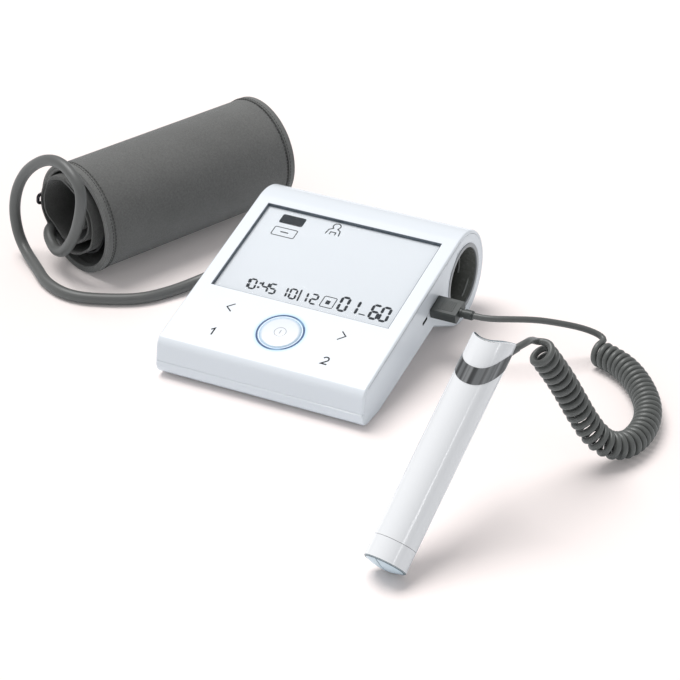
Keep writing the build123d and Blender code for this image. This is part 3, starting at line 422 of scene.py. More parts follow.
@dataclass(frozen=True)
class ShadedBore(Finish):
    """A bore with painted shade: lighter at its mouth, darker in its depth."""

    mouth: float = 0.073
    depth: float = 0.022

    def dress(self, graph: Graph) -> None:
        """Builds the nodes."""
        # Painted shade: the colour darkens from the mouth into the bore.
        inward = ((self.mouth - graph.place.part(0)) / self.depth).ease(0.0, 1.0)
        graph.surface(Base_Color=graph.mix(inward, self.color, self.shade(0.12)),
                      Roughness=graph.noise(300.0) * 0.1 + self.roughness)


@dataclass(frozen=True)
class Cloudy(Finish):
    """The floor: white with a slight lift for the camera, so that only warm shadows show."""

    tint: Color = (0.92, 0.835, 0.81)
    lift: float = 0.08

    def dress(self, graph: Graph) -> None:
        """Builds the nodes."""
        seen = graph.node("ShaderNodeLightPath", output="Is Camera Ray")
        graph.surface(Base_Color=graph.mix(seen, self.color, self.tint), Roughness=1.0,
                      Specular_IOR_Level=0.0)
        glow = graph.node("ShaderNodeEmission", {}, {0: (1.0, 1.0, 1.0, 1.0), 1: self.lift})
        dark = graph.node("ShaderNodeEmission", {}, {0: (0.0, 0.0, 0.0, 1.0), 1: 0.0})
        added = graph.node("ShaderNodeMixShader", {}, {0: seen, 1: dark, 2: glow})
        plain = Value(graph, graph.shader.outputs[0])
        graph.feed(graph.end, graph.node("ShaderNodeAddShader", {}, {0: plain, 1: added}))


SHELL = Finish("glossy_white_housing", "white_shell", (0.84, 0.875, 0.92), 0.25, coat=0.3,
               cloud=0.012)
LIT_SHELL = Halo("ring_side_white", "white_shell", (0.84, 0.875, 0.92), 0.25, coat=0.3,
                 cloud=0.012)
STICK_WHITE = Finish("glossy_white_stick", "white_shell", (0.90, 0.905, 0.92), 0.16, coat=0.5,
                     cloud=0.012)
TAIL_PALE = Finish("tail_pad_pale", "white_shell", (0.68, 0.78, 0.85), 0.3, coat=0.2, cloud=0.02)
TAIL_RIM = Finish("tail_rim_grey", "grey_plastic", (0.16, 0.21, 0.24), 0.35, coat=0.2)
SIGN_GREY = Finish("printed_grey_sign", "grey_plastic", (0.40, 0.40, 0.42), 0.7, shine=0.1)
PRINT_DARK = Finish("printed_dark_mark", "black_plastic", (0.03, 0.03, 0.033), 0.8, shine=0.1)
SEGMENT = Finish("display_segment", "lcd", (0.006, 0.007, 0.009), 0.8, shine=0.05)
SCREEN = Screen("display_ground", "lcd", (0.79, 0.815, 0.845), 0.7)
PANE = Pane("clear_pane", "clear_window", (0.70, 0.78, 0.86), 0.05)
GASKET = Finish("window_gasket", "black_plastic", (0.075, 0.10, 0.125), 0.35, coat=0.2)
HOSE = Finish("satin_hose", "hose_rubber", (0.135, 0.137, 0.132), 0.40, cloud=0.06, grain=0.02)
CORD = Finish("satin_cord", "cord_jacket", (0.125, 0.130, 0.124), 0.36, cloud=0.08, grain=0.01)
GRIP = Finish("plug_overmould", "grip_rubber", (0.050, 0.056, 0.053), 0.42, cloud=0.08, grain=0.02)
CLOTH = Woven("cuff_cloth", "cuff_fabric", (0.158, 0.158, 0.152), 0.8)
CLOTH_INSIDE = DepthShadedLining("cuff_lining_painted_shade", "cuff_fabric", (0.115, 0.115, 0.110), 0.85)
RIBBON = Woven("cuff_ribbon", "cuff_edge", (0.185, 0.185, 0.178), 0.8, ribs=1.1)
THREAD = Finish("seam_thread", "cuff_edge", (0.050, 0.050, 0.048), 0.8)
DARK_CHROME = ReflectionStreaked("dark_chrome", "electrode", (0.30, 0.305, 0.31), 0.25, metallic=0.8)
BRIGHT = Finish("bright_plating", "plug_shell", (0.78, 0.78, 0.80), 0.2, metallic=1.0)
STEEL = Finish("plain_steel", "spring_steel", (0.62, 0.62, 0.64), 0.35, metallic=1.0)
DARK_WIRE = Finish("dark_wire", "dark_steel", (0.05, 0.05, 0.055), 0.25, metallic=1.0)
STORE = ShadedBore("storage_bore_painted_shade", "tube_plastic", (0.20, 0.205, 0.19), 0.22)
# Light grey of the storage tube's strips: a painted glint.
STORE_GLINT = Finish("storage_glint_strip", "tube_plastic", (0.42, 0.43, 0.42), 0.3)
TRIM = Finish("storage_trim", "grey_plastic", (0.30, 0.31, 0.32), 0.3, coat=0.2)
BLACK = Finish("black_moulding", "black_plastic", (0.02, 0.021, 0.023), 0.45, grain=0.02)
GREY = Finish("grey_moulding", "grey_plastic", (0.28, 0.29, 0.31), 0.45, grain=0.02)
RUBBER_FOOT = Finish("foot_pad", "foot_rubber", (0.20, 0.21, 0.22), 0.75, grain=0.05)
BOARD = Finish("circuit_board", "green_board", (0.02, 0.16, 0.07), 0.4, coat=0.3)
FOIL = Finish("sensor_foil", "touch_foil", (0.45, 0.33, 0.14), 0.4)
CELL = Finish("cell_sleeve", "cell_wrap", (0.05, 0.06, 0.08), 0.3, coat=0.3)
MILKY = Finish("milky_tube", "inner_tube", (0.6, 0.6, 0.57), 0.5)
DIFFUSER = Finish("light_guide", "diffuser", (0.85, 0.9, 0.95), 0.4)
FLOOR = Cloudy("pale_floor", "white_shell", (0.88, 0.88, 0.89), 1.0)


def placed(name: str, data: bpy.types.ID) -> bpy.types.Object:
    """Links a new object into the scene."""
    made = bpy.data.objects.new(name, data)
    bpy.context.scene.collection.objects.link(made)
    return made


def modify(made: bpy.types.Object, name: str, kind: str, **settings: object) -> bpy.types.Modifier:
    """Adds a modifier with its settings."""
    added = made.modifiers.new(name, kind)
    for key, value in settings.items():
        setattr(added, key, value)
    return added


def evaluated(made: bpy.types.Object) -> bpy.types.Mesh:
    """A new mesh of an object as its modifiers and curve settings leave it."""
    bpy.context.view_layer.update()
    graph = bpy.context.evaluated_depsgraph_get()
    return bpy.data.meshes.new_from_object(made.evaluated_get(graph))


def apply_modifiers(made: bpy.types.Object) -> None:
    """Applies all of an object's modifiers to its mesh."""
    mesh = evaluated(made)
    made.modifiers.clear()
    made.data = mesh


def seat(made: bpy.types.Object, body: Body, finish: Finish, *stands_for: str) -> None:
    """Dresses an object and says what it rides on and which CAD nodes it replaces."""
    made.data.materials.clear()
    made.data.materials.append(finish.material())
    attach(made, body.value)
    if stands_for:
        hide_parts(*stands_for)
    LOG.info("made %s on %s", made.name, body.value)


def settle(made: bpy.types.Object, body: Body, finish: Finish, *stands_for: str,
           sharp: float = 35.0, cut: bpy.types.Object | None = None, bevel: float = 0.0
           ) -> bpy.types.Object:
    """Finishes a mesh object as a piece.

    Args:
        made: The object.
        body: The body that it rides on.
        finish: What it is dressed in.
        stands_for: The CAD nodes that it replaces.
        sharp: Edges that turn by more degrees than this stay sharp.
        cut: An object taken out of it, which is removed afterwards.
        bevel: Width in millimetres of a fine bevel on its sharp edges.

    Returns:
        The finished object.
    """
    if cut:
        modify(made, "cut", "BOOLEAN", operation="DIFFERENCE", solver="EXACT", object=cut)
    if bevel:
        modify(made, "fine_edges", "BEVEL", width=bevel * MM, segments=2, limit_method="ANGLE",
               angle_limit=math.radians(40), use_clamp_overlap=True)
    if made.modifiers:
        apply_modifiers(made)
    if cut:
        bpy.data.objects.remove(cut)
    made.data.shade_smooth()
    made.data.set_sharp_from_angle(angle=math.radians(sharp))
    seat(made, body, finish, *stands_for)
    return made


def settle_cad(node: str, finish: Finish, body: Body) -> bpy.types.Object:
    """Gives a CAD node's shape a merged, smoothly shaded copy in a finish."""
    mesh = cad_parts[node].data.copy()
    work = bmesh.new()
    work.from_mesh(mesh)
    bmesh.ops.remove_doubles(work, verts=work.verts, dist=2e-6)
    work.to_mesh(mesh)
    work.free()
    if mesh.has_custom_normals:
        mesh.normals_split_custom_set([(0.0, 0.0, 0.0)] * len(mesh.loops))
    made = settle(placed(node + "_skin", mesh), body, finish, node, sharp=28.0)
    modify(made, "even_shade", "WEIGHTED_NORMAL", keep_sharp=True, weight=80)
    return made


def tilted(origin: Point, x_axis: Vector, z_axis: Vector) -> Matrix:
    """A working plane from its origin in millimetres, its X and its normal."""
    z = z_axis.normalized()
    x = (x_axis - z * x_axis.dot(z)).normalized()
    plane = Matrix((x, z.cross(x), z)).transposed().to_4x4()
    plane.translation = Vector(origin) * MM
    return plane


def arc(centre: Spot, radius: float, start: float, end: float, steps: int
        ) -> list[tuple[float, float]]:
    """Points along an arc, its angles in degrees."""
    turn = [math.radians(start + (end - start) * i / steps) for i in range(steps + 1)]
    return [(centre[0] + radius * math.cos(a), centre[1] + radius * math.sin(a)) for a in turn]


def rounded(width: float, height: float, radius: float, centre: Spot = (0, 0)
            ) -> list[tuple[float, float]]:
    """The outline of a rectangle with round corners."""
    points: list[tuple[float, float]] = []
    for side_x, side_y, start in ((1, 1, 0), (-1, 1, 90), (-1, -1, 180), (1, -1, 270)):
        corner = (centre[0] + side_x * (width / 2 - radius),
                  centre[1] + side_y * (height / 2 - radius))
        points += arc(corner, radius, start, start + 90, 5)
    return points


class Forge:
    """A mesh in the making; lengths are in millimetres in a working plane."""

    def __init__(self, plane: Matrix) -> None:
        """Starts empty in a plane."""
        self.plane = plane
        self.mesh = bmesh.new()

    def drawn(self, points: Iterable[Spot], step: Spot) -> "Forge":
        """Adds a flat outline, drawn along a vector."""
        face = self.mesh.faces.new([self.mesh.verts.new(point) for point in points])
        made = bmesh.ops.extrude_face_region(self.mesh, geom=[face])
        moved = [v for v in made["geom"] if isinstance(v, bmesh.types.BMVert)]
        bmesh.ops.translate(self.mesh, verts=moved, vec=step)
        bmesh.ops.recalc_face_normals(self.mesh, faces=self.mesh.faces)
        return self

    def outline(self, points: Iterable[Spot], depth: float, start: float) -> "Forge":
        """Adds an outline in the plane's XY from a level, drawn upwards by a depth."""
        return self.drawn([(p[0], p[1], start) for p in points], (0, 0, depth))

    def turned(self, profile: Sequence[tuple[float, float]], steps: int, closed: bool = False
               ) -> "Forge":
        """Adds a profile of (radius, height) spun round the plane's Z.

        Args:
            profile: The points; the first and last on the axis close a solid.
            steps: How many steps make the turn.
            closed: True where the profile is a ring that closes on itself.

        Returns:
            The forge.
        """
        verts = [self.mesh.verts.new((r, 0, z)) for r, z in profile]
        pairs = list(zip(verts, verts[1:])) + ([(verts[-1], verts[0])] if closed else [])
        edges = [self.mesh.edges.new(pair) for pair in pairs]
        bmesh.ops.spin(self.mesh, geom=verts + edges, cent=(0, 0, 0), axis=(0, 0, 1),
                       angle=FULL_TURN, steps=steps, use_merge=True)
        bmesh.ops.remove_doubles(self.mesh, verts=self.mesh.verts, dist=1e-5)
        bmesh.ops.recalc_face_normals(self.mesh, faces=self.mesh.faces)
        return self

    def loose(self, name: str) -> bpy.types.Object:
        """Makes an object in metres in the row frame, riding on nothing yet."""
        mesh = bpy.data.meshes.new(name)
        self.mesh.to_mesh(mesh)
        self.mesh.free()
        mesh.transform(self.plane @ Matrix.Scale(MM, 4))
        return placed(name, mesh)

    def piece(self, name: str, body: Body, finish: Finish, *stands_for: str,
              **shaping: object) -> bpy.types.Object:
        """Finishes the mesh as a piece of the object; the rest is as for settle."""
        return settle(self.loose(name), body, finish, *stands_for, **shaping)


@dataclass
class Studio:
    """Camera, lamps and floor; a lamp's side is where it stands, seen from the object."""

    eye: Point = (0.6434, -1.2583, 0.8461)
    azimuth: float = 26.6
    rise: float = 30.96
    focal_pixels: float = 2459.3
    image_pixels: float = 680.0
    sensor: float = 36.0
    key_side: Point = (-0.55, 0.12, 1.5)
    key_power: float = 2.4
    key_angle: float = 0.66
    edge_side: Point = (0.85, -0.30, 0.45)
    edge_share: float = 0.03
    edge_angle: float = 0.14
    room_color: Color = (0.95, 0.975, 1.0)
    room_power: float = 0.42
    floor_reach: float = 6.0

    def aim(self, made: bpy.types.Object, back: Vector) -> None:
        """Turns a camera or lamp so that it looks away from a direction."""
        made.rotation_mode = "QUATERNION"
        made.rotation_quaternion = (-back).to_track_quat("-Z", "Y")

    def camera(self) -> None:
        """Puts the camera where the photograph was taken from."""
        turn, rise = math.radians(self.azimuth), math.radians(self.rise)
        data = bpy.data.cameras.new("view")
        data.sensor_width = self.sensor
        data.lens = self.focal_pixels * self.sensor / self.image_pixels
        data.clip_end = 20.0
        made = placed("view", data)
        made.location = self.eye
        self.aim(made, Vector((math.sin(turn) * math.cos(rise), -math.cos(turn) * math.cos(rise),
                               math.sin(rise))))
        bpy.context.scene.camera = made

    def lamp(self, name: str, side: Point, power: float, angle: float) -> None:
        """Adds a soft lamp far away, with its power in watts on a square metre."""
        data = bpy.data.lights.new(name, "SUN")
        data.energy = power
        data.angle = angle
        self.aim(placed(name, data), Vector(side))

    def room(self) -> None:
        """Adds even light from all sides, which is plain white where the camera sees it."""
        world = bpy.data.worlds.new("room")
        bpy.context.scene.world = world
        graph = Graph(world)
        graph.surface(Color=self.room_color, Strength=self.room_power)
        seen, through = (graph.node("ShaderNodeLightPath", output=f"Is {ray} Ray")
                         for ray in ("Camera", "Transmission"))
        white = graph.node("ShaderNodeBackground", {}, {"Color": (1.0, 1.0, 1.0)})
        light = Value(graph, graph.shader.outputs[0])
        graph.feed(graph.end, graph.node("ShaderNodeMixShader", {},
                                         {0: seen.most(through), 1: light, 2: white}))

    def floor(self) -> None:
        """Adds the floor."""
        work = bmesh.new()
        bmesh.ops.create_grid(work, x_segments=2, y_segments=2, size=self.floor_reach)
        mesh = bpy.data.meshes.new("floor")
        work.to_mesh(mesh)
        work.free()
        mesh.materials.append(FLOOR.material())
        placed("floor", mesh)

    def build(self) -> None:
        """Sets up the whole studio."""
        self.camera()
        self.lamp("key_lamp", self.key_side, self.key_power, self.key_angle)
        self.lamp("edge_lamp", self.edge_side, self.key_power * self.edge_share, self.edge_angle)
        self.room()
        self.floor()
        bpy.context.scene.view_settings.view_transform = "Standard"


@dataclass
class Housing:
    """The monitor's covers, face and display."""

    width: float = 150.0
    tilt: float = 15.0
    roll_radius: float = 33.3
    roll_y: float = 61.4
    roll_z: float = 33.7
    front_y: float = -80.0
    screen: tuple[float, float] = (130.0, 84.7)
    screen_start: float = 47.4
    screen_sink: float = 1.6
    screen_floor: float = -2.6
    liner_lines: float = 0.9
    pane_thickness: float = 0.5
    ground_thickness: float = 3.5
    button_up: float = 21.4
    button_radius: float = 13.9
    ring_outer: float = 16.2
    ring_depth: float = 2.3
    bore: float = 21.5

    @property
    def face(self) -> Matrix:
        """The plane of the sloping face; its Y runs up the face from the front foot line."""
        turn = math.radians(self.tilt)
        touch_y = self.roll_y - self.roll_radius * math.sin(turn)
        touch_z = self.roll_z + self.roll_radius * math.cos(turn)
        height = touch_z - math.tan(turn) * (touch_y - self.front_y)
        return tilted((0, self.front_y, height), Vector((1, 0, 0)),
                      Vector((0, -math.sin(turn), math.cos(turn))))

    @property
    def roll(self) -> Matrix:
        """The plane of the right cheek, on the storage tube's axis, facing right."""
        return tilted((self.width / 2, self.roll_y, self.roll_z), Vector((0, 1, 0)),
                      Vector((1, 0, 0)))

    def plate(self, margin: float, corner: float, low: float, thickness: float) -> Forge:
        """A plate of the display's size less a margin, up from a level under the face."""
        width, height = self.screen
        shape = rounded(width - margin, height - margin, corner,
                        (0, self.screen_start + height / 2))
        return Forge(self.face).outline(shape, thickness, low)

    def display(self) -> None:
        """The clear pane, the dark line round it, the display's ground and what it shows."""
        lines, floor = self.liner_lines, self.screen_floor
        pane = self.plate(lines, 0.5, -self.screen_sink - self.pane_thickness, self.pane_thickness)
        pane.piece("window_pane", Body.MONITOR, PANE, "display_window", bevel=0.12)
        hole = self.plate(lines, 0.4, floor - 0.6, 4.0)
        self.plate(0.02, 0.5, floor, 2.35).piece("window_liner", Body.MONITOR, GASKET,
                                                 cut=hole.loose("hole"))
        ground = self.plate(lines + 0.02, 0.3, floor - self.ground_thickness, self.ground_thickness)
        ground.piece("display_ground", Body.MONITOR, SCREEN, "lcd_panel", bevel=0.1)
        Readout(self.face, floor + 0.02).build()

    def button(self) -> None:
        """The light ring and the cap's sign."""
        plane = self.face @ Matrix.Translation((0, self.button_up * MM, 0))
        inner, outer, low = self.button_radius + 0.1, self.ring_outer, -self.ring_depth
        ring = Forge(plane)
        ring.turned([(inner, low), (inner, -0.12), (inner + 0.15, 0.0), (outer - 0.2, 0.0),
                     (outer, -0.15), (outer, low)], 96, closed=True)
        glow = Glow("ring_glow", "light_ring", (0.3, 0.6, 0.9), 0.25,
                    centre=tuple(plane.translation))
        ring.piece("ring_light", Body.MONITOR, glow, "button_light_ring")
        sign = Forge(plane)
        sign.turned([(3.75, 0.3), (3.75, 0.5), (4.15, 0.5), (4.15, 0.3)], 48, closed=True)
        sign.outline(rounded(0.6, 3.6, 0.2), 0.2, 0.32)
        sign.piece("button_sign", Body.BUTTON, SIGN_GREY)

    def marks(self) -> None:
        """The printed marks of the touch keys beside the button."""
        pen = Pen(self.face, 0.0, 0.05)
        pen.path([(-40.1, 35.6), (-44.4, 31.6), (-40.1, 28.3)], 0.85)
        pen.path([(38.0, 35.5), (42.0, 32.0), (37.8, 27.6)], 0.85)
        pen.path([(-44.4, 9.2), (-42.3, 11.0), (-42.3, 4.8)], 1.0)
        pen.path(arc((39.1, 9.2), 1.85, 165, -40, 10) + [(37.2, 4.9), (41.3, 4.9)], 1.0)
        pen.forge.piece("key_marks", Body.MONITOR, PRINT_DARK)

    def store_glint_strips(self) -> None:
        """Thin raised strips on the storage tube's lower wall, light grey as painted glints of its
        inner wall.
        """
        glint_strips = Forge(self.roll)
        for depth, start, end in ((5.0, -66, -30), (13.0, -24, 6)):
            band = arc((0, 0), self.bore + 0.1, start, end, 12)
            inside = arc((0, 0), self.bore - 0.5, end, start, 12)
            glint_strips.outline(band + inside, 0.9, -depth)
        glint_strips.piece("store_glint_strips", Body.MONITOR, STORE_GLINT, bevel=0.12)

    def build(self) -> None:
        """Makes all pieces of the housing."""
        self.store_glint_strips()
        self.display()
        self.button()
        self.marks()
        settle_cad("top_cover", LIT_SHELL, Body.MONITOR)
        settle_cad("base_cover", SHELL, Body.MONITOR)
        settle_cad("start_button", LIT_SHELL, Body.BUTTON)
        settle_cad("battery_door", SHELL, Body.DOOR)
        settle_cad("storage_tube", STORE, Body.MONITOR)
        settle_cad("storage_trim_ring", TRIM, Body.MONITOR)
        settle_cad("ecg_socket", BLACK, Body.MONITOR)
        settle_cad("data_port", BLACK, Body.MONITOR)
        settle_cad("air_socket", GREY, Body.MONITOR)


class Pen:
    """Draws strokes of even width on a plane."""

    def __init__(self, plane: Matrix, level: float, thickness: float) -> None:
        """Keeps the plane and the strokes' level and thickness in millimetres."""
        self.forge = Forge(plane)
        self.level = level
        self.thickness = thickness

    def fill(self, points: Iterable[Spot]) -> None:
        """Adds a filled outline."""
        self.forge.outline(points, self.thickness, self.level)

    def strip(self, start: Spot, end: Spot, wide: float) -> None:
        """Adds one stroke with pointed ends."""
        first, last = Vector(start), Vector(end)
        back = (last - first).normalized() * wide / 2
        side = Vector((-back.y, back.x))
        self.fill([first, first + back + side, last - back + side, last, last - back - side,
                   first + back - side])

    def path(self, points: Sequence[Spot], wide: float) -> None:
        """Adds strokes that join a row of points, mitred where they meet."""
        spots = [Vector(p) for p in points]
        runs = [(second - first).normalized() for first, second in zip(spots, spots[1:])]
        lefts, rights = [], []
        for spot, before, after in zip(spots, [runs[0], *runs], [*runs, runs[-1]]):
            middle = (before + after).normalized()
            side = Vector((-middle.y, middle.x))
            square = Vector((-before.y, before.x))
            reach = side * wide / 2 / max(side.dot(square), 0.35)
            lefts.append(spot + reach)
            rights.append(spot - reach)
        for i in range(len(runs)):
            self.fill([lefts[i], lefts[i + 1], rights[i + 1], rights[i]])


class Readout(Pen):
    """What the display shows: digits of seven segments, frames and small signs."""

    SEGMENTS = {"0": "abcdef", "1": "bc", "2": "abged", "4": "fgbc", "5": "afgcd", "6": "afgedc"}
    SHIFT = (-0.32, 0.5)
    THICKNESS = 0.06
    BASELINE = 53.2
    FRAME_LINE = 0.6
    CORNER = 1.4
    FIGURE_LINE = 0.75

    def __init__(self, plane: Matrix, level: float) -> None:
        """Keeps the plane, shifted to where everything is drawn, and the level."""
        shift = Matrix.Translation((*(step * MM for step in self.SHIFT), 0))
        super().__init__(plane @ shift, level, self.THICKNESS)

    def digit(self, sign: str, left: float, size: tuple[float, float], wide: float,
              lean: float) -> None:
        """Adds one digit on the baseline from its left edge; lean is its top's step."""
        width, height = size
        x0, x1 = wide / 2, width - wide / 2
        y0, y1, y2 = wide / 2, height / 2, height - wide / 2
        strips = {"a": ((x0, y2), (x1, y2)), "b": ((x1, y2), (x1, y1)), "c": ((x1, y1), (x1, y0)),
                  "d": ((x0, y0), (x1, y0)), "e": ((x0, y1), (x0, y0)), "f": ((x0, y2), (x0, y1)),
                  "g": ((x0, y1), (x1, y1))}
        for key in self.SEGMENTS[sign]:
            start, end = (Vector(p) for p in strips[key])
            step = (end - start).normalized() * wide * 0.10
            ends = [(left + p.x + lean * p.y / height, self.BASELINE + p.y)
                    for p in (start + step, end - step)]
            self.strip(*ends, wide)

    def frame(self, width: float, height: float, centre: Spot) -> None:
        """Adds a rounded outline frame made of one band."""
        line = self.FRAME_LINE
        outer = rounded(width, height, self.CORNER, centre)
        inner = rounded(width - 2 * line, height - 2 * line, self.CORNER - line, centre)
        for i in range(len(outer)):
            j = (i + 1) % len(outer)
            self.fill([outer[i], outer[j], inner[j], inner[i]])

    def build(self) -> None:
        """Makes the readout."""
        for signs, lefts, size, wide, lean in (
                ("10451012", (-47.0, -41.7, -32.5, -26.8, -18.5, -11.7, -3.6, 3.8), (5.8, 10.0),
                 1.42, -1.5),
                ("0160", (23.5, 31.0, 46.1, 53.1), (7.2, 14.2), 1.95, -0.8)):
            for sign, left in zip(signs, lefts):
                self.digit(sign, left, size, wide, lean)
        self.strip((-4.0, 52.9), (-5.5, 63.9), 1.2)
        for up in (56.5, 60.5):
            self.fill(rounded(1.6, 1.6, 0.15, (-34.5, up)))
        self.fill(rounded(17.6, 8.6, 1.4, (-42.0, 122.8)))
        self.frame(17.6, 8.6, (-42.2, 110.3))
        self.fill(rounded(6.0, 0.9, 0.3, (-42.2, 110.3)))
        self.frame(9.6, 10.4, (16.2, 58.6))
        self.fill(rounded(3.0, 3.4, 0.4, (16.0, 58.4)))
        self.fill(rounded(4.6, 0.9, 0.2, (41.9, 55.4)))
        self.person(-10.4, 117.9)
        self.forge.piece("display_signs", Body.MONITOR, SEGMENT)

    def person(self, x: float, low: float) -> None:
        """Adds a plain head and shoulders in outline."""
        paths = [arc((x, low + 9.0), 2.7, -58, 238, 14)]
        paths += [[(x + side * 1.4, low + 6.8), (x + side * 4.2, low + 5.0),
                   (x + side * 4.9, low + 0.4)] for side in (-1, 1)]
        paths.append([(x - 1.9, low + 0.6), (x - 1.9, low + 3.1), (x + 1.9, low + 3.1),
                      (x + 1.9, low + 0.6)])
        for path in paths:
            self.path(path, self.FIGURE_LINE)


@dataclass
class Cords:
    """The stick's curly cord and the cuff's air hose."""

    cord_thickness: float = 4.3
    hose_thickness: float = 8.0
    curl_arm: float = 6.85
    tight_turns: int = 26
    loose_turns: int = 15
    loose_from: float = 0.60
    points_per_turn: int = 12

    def line(self, name: str, points: Sequence[Spot], thickness: float, steps: int,
             rings: int = 5) -> bpy.types.Object:
        """A smooth round cord through a route's control points, in millimetres."""
        data = bpy.data.curves.new(name, "CURVE")
        data.dimensions = "3D"
        data.resolution_u = steps
        data.bevel_depth = thickness / 2 * MM
        data.bevel_resolution = rings
        data.use_fill_caps = True
        spline = data.splines.new("NURBS")
        spline.points.add(len(points) - 1)
        for target, point in zip(spline.points, points):
            target.co = (point[0] * MM, point[1] * MM, point[2] * MM, 1.0)
        spline.order_u = 3
        spline.use_endpoint_u = True
        return placed(name, data)

    def centreline(self, points: Sequence[Spot]) -> list[Vector]:
        """Points read from a route's own spline, in metres."""
        probe = self.line("probe", points, 0.0, 24)
        found = [v.co.copy() for v in evaluated(probe).vertices]
        bpy.data.objects.remove(probe)
        return found

    def helix(self, route: list[Vector]) -> list[Point]:
        """The curly stretch's control points, wound round its route.

        Args:
            route: Points of the curly stretch's middle line, in metres.

        Returns:
            Control points in millimetres.
        """
        lengths = [0.0]
        for first, second in zip(route, route[1:]):
            lengths.append(lengths[-1] + (second - first).length)
        whole = lengths[-1]
        frames = []
        normal = Vector((0, 0, 1))
        for index, spot in enumerate(route):
            before, after = route[max(index - 1, 0)], route[min(index + 1, len(route) - 1)]
            run = (after - before).normalized()
            normal = (normal - run * normal.dot(run)).normalized()
            frames.append((normal, run.cross(normal)))
        leave = Vector(STICK_LEAD_ROUTE[0]) * MM - route[-1]
        last = math.atan2(leave.dot(frames[-1][1]), leave.dot(frames[-1][0])) / FULL_TURN
        turns = self.tight_turns + self.loose_turns + last % 1.0
        per_turn = self.points_per_turn
        wave = self.curl_arm / math.cos(math.pi / per_turn)
        points: list[Point] = []
        index = 0
        for count in range(round(turns * per_turn) + 1):
            turn = min(count / per_turn, turns)
            if turn < self.tight_turns:
                share = turn / self.tight_turns * self.loose_from
            else:
                over = (turn - self.tight_turns) / (turns - self.tight_turns)
                share = self.loose_from + over * (1 - self.loose_from)
            along = share * whole
            while index < len(lengths) - 2 and lengths[index + 1] < along:
                index += 1
            part = (along - lengths[index]) / max(lengths[index + 1] - lengths[index], 1e-9)
            middle = route[index].lerp(route[index + 1], min(part, 1.0))
            normal, side = frames[index]
            angle = FULL_TURN * turn
            spot = middle / MM + (normal * math.cos(angle) + side * math.sin(angle)) * wave
            points.append(tuple(spot))
        return points

    def curly(self) -> None:
        """The cord from the plug through the curls to the stick."""
        coil = self.helix(self.centreline(CURL_ROUTE))
        route = PLUG_LEAD_ROUTE[:-1] + coil + STICK_LEAD_ROUTE[1:]
        made = self.line("curly_lead", route, self.cord_thickness, 3, rings=3)
        seat(made, Body.STICK, CORD, "plug_lead", "curly_cord", "stick_lead")

    def hose(self) -> None:
        """The air hose from the cuff to the plug in the monitor's left cheek."""
        made = self.line("air_line", HOSE_ROUTE, self.hose_thickness, 12)
        seat(made, Body.CUFF, HOSE, "air_hose")

    def build(self) -> None:
        """Makes both cords."""
        self.curly()
        self.hose()


